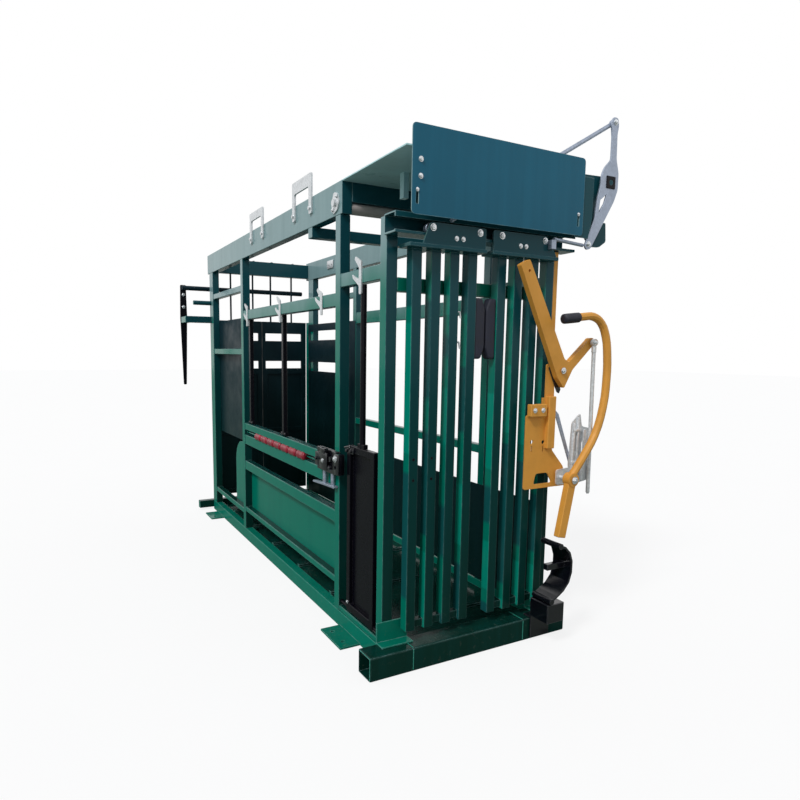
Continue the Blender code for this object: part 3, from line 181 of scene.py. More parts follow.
class PaintSettings(bpy.types.PropertyGroup):
    """Colours and gloss of the crush's finishes."""
    # Painted light: the front colours are darker near the ground and lighter and bluer high up
    front_high: colour("Front, high", "Frame paint high up", (0.009, 0.072, 0.092, 1))
    front_middle: colour("Front, middle", "Frame paint at half height", (0.001, 0.046, 0.046, 1))
    front_low: colour("Front, low", "Frame paint near the ground", (0.002, 0.028, 0.020, 1))
    # Painted sheen: the three colours below stand for light and sky reflection on faces that look
    # to the left, palest high up
    sheen_high: colour("Sheen, high", "Painted film on the weather side, high up",
                      (0.240, 0.370, 0.385, 1))
    sheen_middle: colour("Sheen, middle", "Sunward side at half height", (0.000, 0.190, 0.135, 1))
    sheen_low: colour("Sheen, low", "Sunward side near the ground", (0.000, 0.185, 0.125, 1))
    # Painted light: the base green is a lighter copy of the frame green
    bright_green: colour("Bright green", "Paint of the base rails", (0.001, 0.150, 0.100, 1))
    panel_blue: colour("Panel", "Paint of the front panel", (0.014, 0.132, 0.212, 1))
    # Painted shade: the inside colours are a darker copy of the frame green for the crush's inside
    inside_high: colour("Inside, high", "Walls and gate inside, high up", (0.006, 0.022, 0.032, 1))
    inside_low: colour("Inside, low", "Walls and gate inside, low down", (0.001, 0.020, 0.018, 1))
    yellow: colour("Yellow", "Paint of the neck bar and handle", (0.800, 0.365, 0.060, 1))
    zinc: colour("Zinc", "Galvanised steel of levers and rods", (0.365, 0.415, 0.510, 1))
    new_zinc: colour("New zinc", "Galvanised steel of straps, latches and bolts",
                     (0.720, 0.740, 0.760, 1))
    black: colour("Black", "Black paint of the door and bars", (0.003, 0.003, 0.006, 1))
    rubber: colour("Rubber", "Neck pads and grip", (0.008, 0.009, 0.018, 1))
    red: colour("Red", "Ribbed sleeve", (0.215, 0.002, 0.016, 1))
    gloss: FloatProperty(name="Paint roughness", description="Roughness of the wet-looking paint",
                         default=0.16, min=0.05, max=1.0, subtype="FACTOR")


class FastenerSettings(bpy.types.PropertyGroup):
    """Sizes of bolts and weld beads."""
    bolt_across: FloatProperty(name="Bolt head", description="Width across the flats",
                               default=0.019, min=0.006, max=0.05, unit="LENGTH")
    bolt_height: FloatProperty(name="Head height", description="Height of a bolt head",
                               default=0.008, min=0.002, max=0.03, unit="LENGTH")
    washer: FloatProperty(name="Washer", description="Washer diameter",
                          default=0.028, min=0.01, max=0.06, unit="LENGTH")
    bead: FloatProperty(name="Weld bead", description="Radius of a weld bead",
                        default=0.0028, min=0.001, max=0.01, unit="LENGTH")


class StageSettings(bpy.types.PropertyGroup):
    """Floor, sky and lamps."""
    floor: colour("Floor", "Pale floor under the crush", (0.90, 0.90, 0.90, 1))
    ground: colour("Ground", "Tone that the floor lends to reflections", (0.20, 0.23, 0.20, 1))
    floor_white: FloatProperty(name="Whiter floor",
                               description="Share of plain white the camera sees",
                               default=0.82, min=0.0, max=1.0, subtype="FACTOR")
    sky_strength: FloatProperty(name="Sky", description="Strength of the sky light",
                                default=0.60, min=0.0, max=5.0)
    sun_strength: FloatProperty(name="Sun", description="Strength of the soft sun",
                                default=1.7, min=0.0, max=10.0)
    sun_size: FloatProperty(name="Sun size", description="Softness of the sun's shadow",
                            default=math.radians(12), min=0.0, max=3.0, subtype="ANGLE")


# Materials

class Recipe:
    """A material with its Principled shader and short ways to add nodes."""

    def __init__(self, name):
        self.material = bpy.data.materials.new(name)
        self.material.use_nodes = True
        self.tree = self.material.node_tree
        self.surface = self.tree.nodes["Principled BSDF"]

    def node(self, kind, **values):
        made = self.tree.nodes.new("ShaderNode" + kind)
        for key, value in values.items():
            setattr(made, key, value)
        return made

    def join(self, source, target):
        self.tree.links.new(source, target)

    def spot(self):
        return self.node("TexCoord").outputs["Object"]

    def noise(self, scale, detail=3.0, rough=0.55, spot=None):
        made = self.node("TexNoise")
        made.inputs["Scale"].default_value = scale
        made.inputs["Detail"].default_value = detail
        made.inputs["Roughness"].default_value = rough
        self.join(spot or self.spot(), made.inputs["Vector"])
        return made.outputs["Fac"]

    def span(self, source, low, high, to_low=0.0, to_high=1.0):
        made = self.node("MapRange")
        made.inputs["From Min"].default_value = low
        made.inputs["From Max"].default_value = high
        made.inputs["To Min"].default_value = to_low
        made.inputs["To Max"].default_value = to_high
        self.join(source, made.inputs["Value"])
        return made.outputs["Result"]

    def times(self, first, second):
        made = self.node("Math", operation="MULTIPLY")
        self.join(first, made.inputs[0])
        self.join(second, made.inputs[1])
        return made.outputs[0]

    def mix(self, amount, first, second):
        made = self.node("Mix", data_type="RGBA")
        self.join(amount, made.inputs["Factor"])
        for value, socket in ((first, made.inputs[6]), (second, made.inputs[7])):
            if isinstance(value, bpy.types.NodeSocket):
                self.join(value, socket)
            else:
                socket.default_value = value
        return made.outputs[2]

    def ramp(self, source, stops):
        made = self.node("ValToRGB")
        bar = made.color_ramp
        while len(bar.elements) < len(stops):
            bar.elements.new(0.5)
        for element, (place, value) in zip(bar.elements, stops):
            element.position = place
            element.color = value
        self.join(source, made.inputs["Fac"])
        return made.outputs["Color"]

    def axis(self, source, letter):
        made = self.node("SeparateXYZ")
        self.join(source, made.inputs[0])
        return made.outputs[letter]

    def edges(self, radius, amount):
        """The share of the edge tone along outer and inner edges: wear in some finishes, a painted
        highlight in others.
        """
        soft = self.node("Bevel", samples=4)
        soft.inputs["Radius"].default_value = radius
        flat = self.node("NewGeometry")
        close = self.node("VectorMath", operation="DOT_PRODUCT")
        self.join(soft.outputs[0], close.inputs[0])
        self.join(flat.outputs["Normal"], close.inputs[1])
        wear_and_highlight = self.span(self.noise(22.0, 4.0, 0.7), 0.35, 0.70, 0.15, amount)
        return self.times(self.span(close.outputs["Value"], 0.99, 0.80), wear_and_highlight)

    def bump(self, height, distance, strength, after=None):
        made = self.node("Bump")
        made.inputs["Distance"].default_value = distance
        made.inputs["Strength"].default_value = strength
        self.join(height, made.inputs["Height"])
        if after:
            self.join(after, made.inputs["Normal"])
        return made.outputs["Normal"]


def shade(value, factor):
    """A colour made darker or lighter by a factor."""
    return (value[0] * factor, value[1] * factor, value[2] * factor, 1.0)


def gloss_paint(name, front, sheen, roughness, bar_reflections=0.0):
    """Gloss paint that changes from the ground up, with painted light: darker low down, lighter and
    bluer high up, a painted sheen on faces that look to the left, edges partly worn and partly
    painted highlight, runs, orange peel and dust low down. A share for bars breaks the sheen into
    bands of painted reflection of neighbouring bars."""
    recipe = Recipe(name)
    spot = recipe.spot()
    height = recipe.axis(spot, "Z")
    cloud = recipe.noise(1.7, 3.0)
    lifted = recipe.node("Math", operation="MULTIPLY_ADD")
    recipe.join(cloud, lifted.inputs[0])
    lifted.inputs[1].default_value = 0.45
    recipe.join(height, lifted.inputs[2])
    # Painted light: the height, lifted by noise, picks the ramp colours, darker low down and
    # lighter high up
    rise = recipe.span(lifted.outputs[0], PAINT_FOOT, PAINT_TOP)
    normal = recipe.node("NewGeometry").outputs["Normal"]
    # Painted sheen: faces that look to the left take the sheen ramp in place of the front ramp
    sunward = recipe.span(recipe.axis(normal, "X"), -0.45, -0.90)
    side = recipe.ramp(rise, sheen)
    # Painted reflection: dark and bright bands stand for neighbouring bars mirrored in the sheen
    if bar_reflections:
        bands = recipe.node("Mapping")
        bands.inputs["Scale"].default_value = BAND_SCALE
        recipe.join(spot, bands.inputs["Vector"])
        band = recipe.noise(1.0, 0.0, 0.5, bands.outputs["Vector"])
        side = recipe.mix(recipe.span(band, 0.47, 0.49, bar_reflections, 0.0), side,
                          shade(front[-1][1], 0.9))
        side = recipe.mix(recipe.span(band, 0.57, 0.58, 0.0, bar_reflections * 0.8), side,
                          shade(sheen[1][1], 1.6))
    tone = recipe.mix(sunward, recipe.ramp(rise, front), side)
    runs = recipe.node("Mapping")
    runs.inputs["Scale"].default_value = RUN_SCALE
    recipe.join(spot, runs.inputs["Vector"])
    streak = recipe.noise(1.0, 4.0, 0.6, runs.outputs["Vector"])
    tone = recipe.mix(recipe.span(streak, 0.42, 0.72, 0.0, 0.16), tone,
                      shade(front[len(front) // 2][1], 1.8))
    # Painted highlight: edges take a pale sheen tone, partly wear and partly light catching them
    tone = recipe.mix(recipe.edges(0.004, 0.75), tone, shade(sheen[-1][1], 1.7))
    specks = recipe.noise(38.0, 5.0, 0.7)
    dusty = recipe.times(recipe.span(specks, 0.60, 0.80, 0.0, DUST_SHARE),
                         recipe.span(height, DUST_TOP, 0.0))
    tone = recipe.mix(dusty, tone, DUST)
    recipe.join(tone, recipe.surface.inputs["Base Color"])
    rough = recipe.span(recipe.noise(9.0, 4.0), 0.30, 0.75, roughness * 0.75, roughness * 1.5)
    recipe.join(rough, recipe.surface.inputs["Roughness"])
    recipe.surface.inputs["Specular IOR Level"].default_value = SATIN_SPECULAR
    peel = recipe.bump(recipe.noise(420.0, 2.0), 0.0004, 0.25)
    dents = recipe.bump(recipe.noise(7.0, 2.0), 0.0020, 0.25, peel)
    recipe.join(dents, recipe.surface.inputs["Normal"])
    return recipe.material


def plain_paint(name, base_colour, roughness, scuff_and_edge_tone, wear=0.35, specular=0.30):
    """Gloss paint with scuffed patches and edges in a lighter shade of the scuff tone: wear on most
    paints, a painted highlight on the gloss black.
    """
    recipe = Recipe(name)
    cloud = recipe.noise(11.0, 5.0, 0.6)
    tone = recipe.mix(recipe.span(cloud, 0.35, 0.75, 0.0, 0.55), tuple(base_colour),
                      shade(base_colour, 0.72))
    scuff = recipe.noise(64.0, 6.0, 0.75)
    tone = recipe.mix(recipe.span(scuff, 0.66, 0.74, 0.0, wear), tone, scuff_and_edge_tone)
    recipe.join(recipe.span(cloud, 0.3, 0.8, roughness, roughness * 1.7),
                recipe.surface.inputs["Roughness"])
    recipe.surface.inputs["Specular IOR Level"].default_value = specular
    # Edge tone: wear on the yellow, steel and black paints, a painted highlight on the gloss black
    tone = recipe.mix(recipe.edges(0.003, 0.5), tone, shade(scuff_and_edge_tone, 1.5))
    recipe.join(tone, recipe.surface.inputs["Base Color"])
    recipe.join(recipe.bump(recipe.noise(380.0, 2.0), 0.0004, 0.35),
                recipe.surface.inputs["Normal"])
    return recipe.material


def zinc_metal(name, base_colour, metallic, roughness):
    """Galvanised steel with its spangle and dull grey drifts."""
    recipe = Recipe(name)
    spangle = recipe.node("TexVoronoi")
    spangle.inputs["Scale"].default_value = 120.0
    recipe.join(recipe.spot(), spangle.inputs["Vector"])
    grain = recipe.axis(spangle.outputs["Color"], "X")
    tone = recipe.mix(recipe.span(grain, 0.0, 1.0), shade(base_colour, 0.90),
                      shade(base_colour, 1.12))
    drift = recipe.noise(16.0, 4.0)
    tone = recipe.mix(recipe.span(drift, 0.52, 0.78, 0.0, 0.45), tone, shade(base_colour, 0.55))
    recipe.join(tone, recipe.surface.inputs["Base Color"])
    recipe.surface.inputs["Metallic"].default_value = metallic
    recipe.join(recipe.span(grain, 0.0, 1.0, roughness * 0.8, roughness * 1.2),
                recipe.surface.inputs["Roughness"])
    recipe.join(recipe.bump(drift, 0.0006, 0.35), recipe.surface.inputs["Normal"])
    return recipe.material


def soft_rubber(name, base_colour, roughness):
    """Moulded rubber with a fine pebble and dusty scuffs."""
    recipe = Recipe(name)
    cloud = recipe.noise(14.0, 4.0)
    tone = recipe.mix(recipe.span(cloud, 0.4, 0.8, 0.0, 0.6), tuple(base_colour),
                      shade(base_colour, 2.6))
    recipe.join(tone, recipe.surface.inputs["Base Color"])
    recipe.join(recipe.span(cloud, 0.3, 0.8, roughness, min(1.0, roughness * 1.4)),
                recipe.surface.inputs["Roughness"])
    pebble = recipe.node("TexVoronoi")
    pebble.inputs["Scale"].default_value = 520.0
    recipe.join(recipe.spot(), pebble.inputs["Vector"])
    recipe.join(recipe.bump(pebble.outputs["Distance"], 0.0004, 0.6),
                recipe.surface.inputs["Normal"])
    return recipe.material


FINISHES = {}


def finish(key):
    """A shared finish, made once from the settings."""
    if key in FINISHES:
        return FINISHES[key]
    paint = bpy.context.scene.crush_paint
    # Painted light: the front ramp is darker low down and lighter and bluer high up
    front = ((0.05, paint.front_low), (0.50, paint.front_middle), (0.85, paint.front_high))
    # Painted sheen: lightens faces that look to the left, palest high up
    sheen = ((0.25, paint.sheen_low), (0.73, paint.sheen_middle), (0.84, paint.sheen_high))
    # Painted shade: the inside ramp is the darker copy for the crush's inside
    inside = ((0.10, paint.inside_low), (0.80, paint.inside_high))
    # Painted sheen on the gate bars, dimmer at the top
    gate_sheen = (*sheen[:2], (0.94, shade(paint.sheen_high, 0.70)))
    # Painted light: the base ramp is that lighter green on every face
    base = ((0.05, paint.bright_green), (0.95, paint.bright_green))
    # Painted shade: the panel paint is darker on its lower part
    panel = ((0.80, shade(paint.panel_blue, 0.8)), (1.00, paint.panel_blue))
    # Painted reflection: the canopy's pale ramp stands for the bright horizon mirrored in its
    # underside
    pale = ((0.0, shade(paint.sheen_high, 1.5)), (1.0, shade(paint.sheen_high, 1.9)))
    makers = {
        "frame paint": lambda: gloss_paint("frame_green_paint", front, sheen, paint.gloss),
        "gate paint": lambda: gloss_paint("gate_green_paint", front, gate_sheen, paint.gloss, 0.8),
        "base paint": lambda: gloss_paint("base_green_paint", base, sheen, paint.gloss),
        "panel paint": lambda: gloss_paint("panel_blue_paint", panel, sheen, paint.gloss),
        "inside paint": lambda: gloss_paint("inside_paint", inside, inside, 0.42),
        "canopy paint": lambda: gloss_paint("canopy_paint", pale, pale, 0.35),
        "yellow paint": lambda: plain_paint("yellow_paint", paint.yellow, 0.34, SCUFF_YELLOW),
        "bare steel": lambda: plain_paint("bare_steel", BARE_STEEL, 0.35, SCUFF_STEEL),
        "black paint": lambda: plain_paint("black_paint", paint.black, 0.20, SCUFF_BLACK,
                                           0.25, SATIN_SPECULAR),
        # Gloss black: scuffs, and a painted highlight along its edges
        "gloss black": lambda: plain_paint("gloss_black_paint", paint.black, 0.12,
                                           GLOSS_BLACK_SCUFF_AND_GLINT, 0.10, 0.7),
        "zinc": lambda: zinc_metal("galvanised_steel", paint.zinc, 0.65, 0.42),
        "bolt zinc": lambda: zinc_metal("bolt_zinc", paint.new_zinc, 0.80, 0.25),
        "new zinc": lambda: zinc_metal("new_galvanised_steel", paint.new_zinc, 0.35, 0.35),
        "pad rubber": lambda: soft_rubber("pad_rubber", shade(paint.rubber, 1.3), 0.55),
        "rubber": lambda: soft_rubber("black_rubber", paint.rubber, 0.45),
        "red rubber": lambda: soft_rubber("red_rubber", paint.red, 0.26),
    }
    FINISHES[key] = makers[key]()
    return FINISHES[key]


def dress(names, key):
    """Gives nodes of the solids their finish."""
    for name in names:
        node = NODES[name]
        if not node.material_slots:
            node.data.materials.append(None)
        for place in node.material_slots:
            place.material = finish(key)


def add_piece(name, shape, body, key, smooth_angle=35):
    """Turns a bmesh into a piece that rides on a body."""
    mesh = bpy.data.meshes.new(name)
    shape.to_mesh(mesh)
    shape.free()
    mesh.shade_smooth()
    mesh.set_sharp_from_angle(angle=math.radians(smooth_angle))
    piece = bpy.data.objects.new(name, mesh)
    bpy.context.scene.collection.objects.link(piece)
    piece.data.materials.append(finish(key))
    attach(piece, body)
    return piece


# Forms

def facing(centre, normal):
    """A placement whose Z looks along the normal."""
    turn = Vector((0, 0, 1)).rotation_difference(Vector(normal)).to_matrix().to_4x4()
    return Matrix.Translation(Vector(centre)) @ turn


def once(parts):
    """The parts in the order they come, each only once."""
    return list(dict.fromkeys(parts))


def skin(shape, rings):
    """Closes a row of rings of equal length into one watertight form."""
    made = []
    for first, second in zip(rings, rings[1:]):
        for side in range(len(first)):
            other = (side + 1) % len(first)
            made.append(shape.faces.new((first[side], first[other], second[other], second[side])))
    made.append(shape.faces.new(rings[0][::-1]))
    made.append(shape.faces.new(rings[-1]))
    bmesh.ops.recalc_face_normals(shape, faces=made)


def turned(shape, place, profile, sides):
    """A form turned about Z through steps of height and radius."""
    rings = []
    for height, radius in profile:
        ring = []
        for side in range(sides):
            angle = math.tau * side / sides
            ring.append(shape.verts.new(
                place @ Vector((radius * math.cos(angle), radius * math.sin(angle), height))))
        rings.append(ring)
    skin(shape, rings)


def drum(shape, place, radius, low, high, sides, top=None):
    """A closed cylinder or cone frustum between two heights."""
    turned(shape, place, ((low, radius), (high, radius if top is None else top)), sides)


def bolt(shape, centre, normal, size):
    """A washer and a chamfered hexagon head with a domed thread end."""
    fit = bpy.context.scene.crush_fasteners
    place = facing(centre, normal)
    washer = fit.washer / 2 * size
    head = fit.bolt_across / math.sqrt(3) * size
    tall = fit.bolt_height * size
    drum(shape, place, washer, -0.001, 0.0022 * size, 24)
    turned(shape, place, ((0.0018 * size, head), (tall * 0.82, head), (tall, head * 0.80)), 6)
    drum(shape, place, head * 0.46, tall * 0.9, tall * 1.35, 16, head * 0.40)


def bolts(name, spots, normal, body, size=1.0):
    """One piece of like bolts, at a share of the full size."""
    shape = bmesh.new()
    for spot in spots:
        bolt(shape, spot, normal, size)
    add_piece(name, shape, body, "bolt zinc")


def bead(shape, start, end, radius):
    """A rippled weld bead between two points."""
    start = Vector(start)
    end = Vector(end)
    along = end - start
    count = max(2, int(along.length / BEAD_PITCH))
    turn = Vector((0, 0, 1)).rotation_difference(along).to_matrix().to_4x4()
    rings = []
    sides = 6
    for step in range(2 * count + 1):
        t = step / (2 * count)
        swell = radius * (1.0 if step % 2 else 0.72)
        if step in (0, 2 * count):
            swell = radius * 0.3
        middle = start + along * t
        ring = []
        for side in range(sides):
            angle = math.tau * side / sides
            corner = turn @ Vector((swell * math.cos(angle), swell * math.sin(angle), 0))
            ring.append(shape.verts.new(middle + corner))
        rings.append(ring)
    skin(shape, rings)


def block(shape, low, high, soft):
    """A box with its edges rounded over."""
    middle = (Vector(low) + Vector(high)) / 2
    size = Vector(high) - Vector(low)
    place = Matrix.Translation(middle) @ Matrix.Diagonal((*size, 1.0))
    made = bmesh.ops.create_cube(shape, size=1.0, matrix=place)
    edges = once(edge for vert in made["verts"] for edge in vert.link_edges)
    bmesh.ops.bevel(shape, geom=edges, offset=soft, segments=2, profile=0.5, affect="EDGES")


def rod(shape, start, end, radius, sides=16):
    """A round rod with eased ends between two points."""
    start = Vector(start)
    along = Vector(end) - start
    place = facing(start, along)
    long = along.length
    ease = min(radius * 0.3, long * 0.2)
    turned(shape, place, ((0.0, radius - ease), (ease, radius), (long - ease, radius),
                          (long, radius - ease)), sides)


def plate(shape, outline, plane, start, thick):
    """A plate cut to an outline, in the XZ or YZ plane."""
    verts = []
    for first, second in outline:
        spot = (first, start, second) if plane == "XZ" else (start, first, second)
        verts.append(shape.verts.new(spot))
    face = shape.faces.new(verts)
    made = bmesh.ops.extrude_face_region(shape, geom=[face])
    push = Vector((0, thick, 0)) if plane == "XZ" else Vector((thick, 0, 0))
    moved = [item for item in made["geom"] if isinstance(item, bmesh.types.BMVert)]
    bmesh.ops.translate(shape, vec=push, verts=moved)
    sides = once(part for vert in verts + moved for part in vert.link_faces)
    bmesh.ops.recalc_face_normals(shape, faces=sides)
    edges = once(edge for vert in verts + moved for edge in vert.link_edges)
    bmesh.ops.bevel(shape, geom=edges, offset=PLATE_EASE, segments=1, affect="EDGES")


def crowned(shape, outline, layers):
    """A closed cushion: one XZ outline repeated along Y, each time drawn in by
    its own inset."""
    middle = [sum(spot[i] for spot in outline) / len(outline) for i in (0, 1)]
    half = [max(abs(spot[i] - middle[i]) for spot in outline) for i in (0, 1)]
    rings = []
    for depth, inset in layers:
        ring = []
        for spot in outline:
            across, tall = (middle[i] + (spot[i] - middle[i]) * (half[i] - inset) / half[i]
                            for i in (0, 1))
            ring.append(shape.verts.new((across, depth, tall)))
        rings.append(ring)
    skin(shape, rings)


def eased(outline, radius, steps=4):
    """The outline with each corner turned on a radius."""
    made = []
    for index, corner in enumerate(outline):
        here = Vector(corner)
        before = Vector(outline[index - 1]) - here
        after = Vector(outline[(index + 1) % len(outline)]) - here
        reach = min(radius, before.length * 0.45, after.length * 0.45)
        start = here + before.normalized() * reach
        end = here + after.normalized() * reach
        for step in range(steps + 1):
            t = step / steps
            made.append(tuple(start * (1 - t) ** 2 + here * 2 * t * (1 - t) + end * t ** 2))
    return made


class CRUSH_OT_frame_finish(bpy.types.Operator):
    """Paint the frame, base and sheets"""
    bl_idname = "crush.frame_finish"
    bl_label = "Paint frame"

    def execute(self, context):
        dress(DARK_GREEN_NODES, "frame paint")
        dress(BRIGHT_GREEN_NODES, "base paint")
        dress(INSIDE_NODES, "inside paint")
        dress(("leaf_left", "leaf_right"), "gate paint")
        dress(("front_panel",), "panel paint")
        dress(("canopy_sheet",), "canopy paint")
        dress(BLACK_NODES, "black paint")
        dress(("curved_strap", "beam_clamp", "latch_block"), "gloss black")
        dress(("cross_shaft",), "bare steel")
        return {"FINISHED"}


class CRUSH_OT_metal_finish(bpy.types.Operator):
    """Finish the yellow, galvanised, rubber and red pieces"""
    bl_idname = "crush.metal_finish"
    bl_label = "Finish fittings"

    def execute(self, context):
        dress(YELLOW_NODES, "yellow paint")
        dress(SILVER_NODES, "zinc")
        dress(NEW_ZINC_NODES, "new zinc")
        dress(RUBBER_NODES, "rubber")
        dress(("bumper_sleeve",), "red rubber")
        return {"FINISHED"}


class CRUSH_OT_panel_bolts(bpy.types.Operator):
    """Bolt the front panel, the bearing and the cross tube"""
    bl_idname = "crush.panel_bolts"
    bl_label = "Panel bolts"

    def execute(self, context):
        bolts("panel_bolts", [(-0.387, PANEL_FACE, 1.991), (-0.387, PANEL_FACE, 1.932)],
              FORWARD, "frame", 0.72)
        bolts("slot_bolts", [(-0.400, PANEL_FACE, 1.884), (0.412, PANEL_FACE, 1.884)],
              FORWARD, "frame", 0.50)
        bolts("bearing_bolts", [(BEARING_FACE, 0.487, 1.976), (BEARING_FACE, 0.527, 1.924)],
              OUTWARD, "frame", 0.75)
        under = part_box("mid_cross_tube")[0][2]
        bolts("cross_tube_bolts", [(0.300, 0.805, under), (0.345, 0.805, under)],
              DOWNWARD, "frame")
        return {"FINISHED"}


class CRUSH_OT_rail_plate(bpy.types.Operator):
    """Bolt the small plate inside the right top rail"""
    bl_idname = "crush.rail_plate"
    bl_label = "Rail plate"

    def execute(self, context):
        shape = bmesh.new()
        block(shape, (RAIL_PLATE_FACE, 2.340, 1.945), (0.3945, 2.450, 2.005), 0.0015)
        add_piece("rail_plate", shape, "frame", "new zinc")
        bolts("rail_plate_bolts", [(RAIL_PLATE_FACE, y, 1.975) for y in (2.368, 2.422)],
              OUTWARD, "frame", 0.6)
        return {"FINISHED"}


class CRUSH_OT_gate_bolts(bpy.types.Operator):
    """Roller bolts and hanger bolts of the head gate"""
    bl_idname = "crush.gate_bolts"
    bl_label = "Gate bolts"

    def execute(self, context):
        for word, wheels, pairs in (("left", (-0.299, -0.075), (-0.189, -0.157)),
                                    ("right", (0.037, 0.270), (0.136, 0.166))):
            body = word + "_leaf"
            bolts(f"roller_bolts_{word}", [(x, HANGER_FACE, 1.767) for x in wheels],
                  FORWARD, body)
            bolts(f"hanger_bolts_{word}", [(x, HANGER_FACE, 1.735) for x in pairs],
                  FORWARD, body, 0.7)
        return {"FINISHED"}


class CRUSH_OT_lever_bolts(bpy.types.Operator):
    """Pivot bolts of the neck bar, handle and levers"""
    bl_idname = "crush.lever_bolts"
    bl_label = "Lever bolts"

    def execute(self, context):
        bolts("neck_pivot_bolt", [(0.362, -0.0935, 1.222)], FORWARD, "right_leaf")
        bolts("handle_pivot_bolt", [(0.398, -0.1535, 0.746)], FORWARD, "right_leaf", 1.2)
        bolts("bracket_bolts", [(0.222, BRACKET_FACE, 1.052), (0.268, BRACKET_FACE, 1.052)],
              FORWARD, "right_leaf", 0.8)
        bolts("crank_bolt", [(PULL_ROD_PIN[0], -0.1115, PULL_ROD_PIN[2])], FORWARD,
              "neck_bar", 0.9)
        bolts("lever_low_bolt", [(0.488, SYNC_LEVER_FACE, 1.768)], FORWARD, "sync_lever", 0.9)
        bolts("lever_top_bolt", [(LEVER_TOP[0], SYNC_LEVER_FACE, LEVER_TOP[1])], FORWARD,
              "sync_lever", 0.9)
        bolts("rear_lever_bolts", [(-0.625, 2.985, 1.736), (-0.625, 2.985, 1.640)],
              FORWARD, "rear_lever", 0.9)
        return {"FINISHED"}


class CRUSH_OT_weld_beads(bpy.types.Operator):
    """Weld beads of the side rails, the front beam and the gate bars"""
    bl_idname = "crush.weld_beads"
    bl_label = "Weld beads"

    def execute(self, context):
        radius = context.scene.crush_fasteners.bead
        shape = bmesh.new()
        for ends, low, high in SIDE_RAILS:
            for y in ends:
                bead(shape, (POST_OUTER, y, low + BEAD_SHORT),
                     (POST_OUTER, y, high - BEAD_SHORT), radius)
                bead(shape, (POST_OUTER + 0.005, y, high), (POST_INNER, y, high), radius)
        add_piece("side_welds", shape, "frame", "frame paint", 60)
        shape = bmesh.new()
        low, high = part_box("base_front_beam")
        for across in (-0.352, 0.232):
            bead(shape, (across, low[1], low[2] + 0.006),
                 (across, low[1], high[2] - BEAD_SHORT), radius)
            bead(shape, (across, low[1] + BEAD_SHORT, high[2]),
                 (across, high[1] - BEAD_SHORT, high[2]), radius)
        add_piece("beam_welds", shape, "frame", "base paint", 60)
        for side, word in ((-1, "left"), (1, "right")):
            shape = bmesh.new()
            for index in range(4):
                middle = side * (FIRST_BAR + index * BAR_PITCH)
                bead(shape, (middle - BAR_HALF, *FLANGE_EDGE), (middle + BAR_HALF, *FLANGE_EDGE),
                     radius * 0.9)
            add_piece(f"leaf_welds_{word}", shape, word + "_leaf", "frame paint", 60)
        return {"FINISHED"}


class CRUSH_OT_latch_cover(bpy.types.Operator):
    """Cover and bolts of the side latch"""
    bl_idname = "crush.latch_cover"
    bl_label = "Latch cover"

    def execute(self, context):
        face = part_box("latch_block")[0][0]
        shape = bmesh.new()
        block(shape, (face + 0.0005, 0.404, 0.738), (-0.4477, 0.4495, 0.834), 0.003)
        block(shape, (face - 0.0075, 0.512, 0.744), (face + 0.001, 0.598, 0.826), 0.003)
        block(shape, (face - 0.0045, 0.606, 0.752), (face + 0.001, 0.650, 0.818), 0.002)
        rod(shape, (face - 0.004, 0.466, 0.764), (face - 0.020, 0.466, 0.764), 0.011, 6)
        rod(shape, (face - 0.004, 0.628, 0.786), (face - 0.016, 0.628, 0.786), 0.009, 6)
        block(shape, (face - 0.012, 0.530, 0.820), (face + 0.010, 0.580, 0.846), 0.003)
        add_piece("latch_cover", shape, "frame", "gloss black")
        bolts("latch_bolt", [(face, 0.430, 0.812)], OUTWARD, "frame", 1.15)
        bolts("latch_cover_bolts", [(face - 0.0075, 0.555, 0.785)], OUTWARD, "frame", 0.8)
        return {"FINISHED"}


class CRUSH_OT_latch_yoke(bpy.types.Operator):
    """Yoke that hangs under the side latch"""
    bl_idname = "crush.latch_yoke"
    bl_label = "Latch yoke"

    def execute(self, context):
        shape = bmesh.new()
        for across in (0.505, 0.596):
            rod(shape, (-0.4590, across, 0.732), (-0.4590, across, 0.664), 0.0100)
        plate(shape, eased(YOKE_OUTLINE, 0.006), "YZ", -0.4700, 0.0220)
        add_piece("latch_yoke", shape, "frame", "zinc")
        return {"FINISHED"}


class CRUSH_OT_rail_hook(bpy.types.Operator):
    """Forked hook on the left rail"""
    bl_idname = "crush.rail_hook"
    bl_label = "Rail hook"

    def execute(self, context):
        shape = bmesh.new()
        middle, foot, top = 0.668, 1.468, 1.594
        outline = ((middle - 0.010, foot), (middle + 0.010, foot),
                   (middle + 0.012, foot + 0.035), (middle + 0.066, foot + 0.070),
                   (middle + 0.074, foot + 0.088), (middle + 0.012, foot + 0.062),
                   (middle + 0.010, top - 0.046), (middle + 0.050, top - 0.008),
                   (middle + 0.044, top + 0.004), (middle - 0.010, top - 0.022))
        plate(shape, eased(outline, 0.004, 2), "YZ", -0.4497, 0.0060)
        add_piece("rail_hook", shape, "frame", "new zinc")
        return {"FINISHED"}


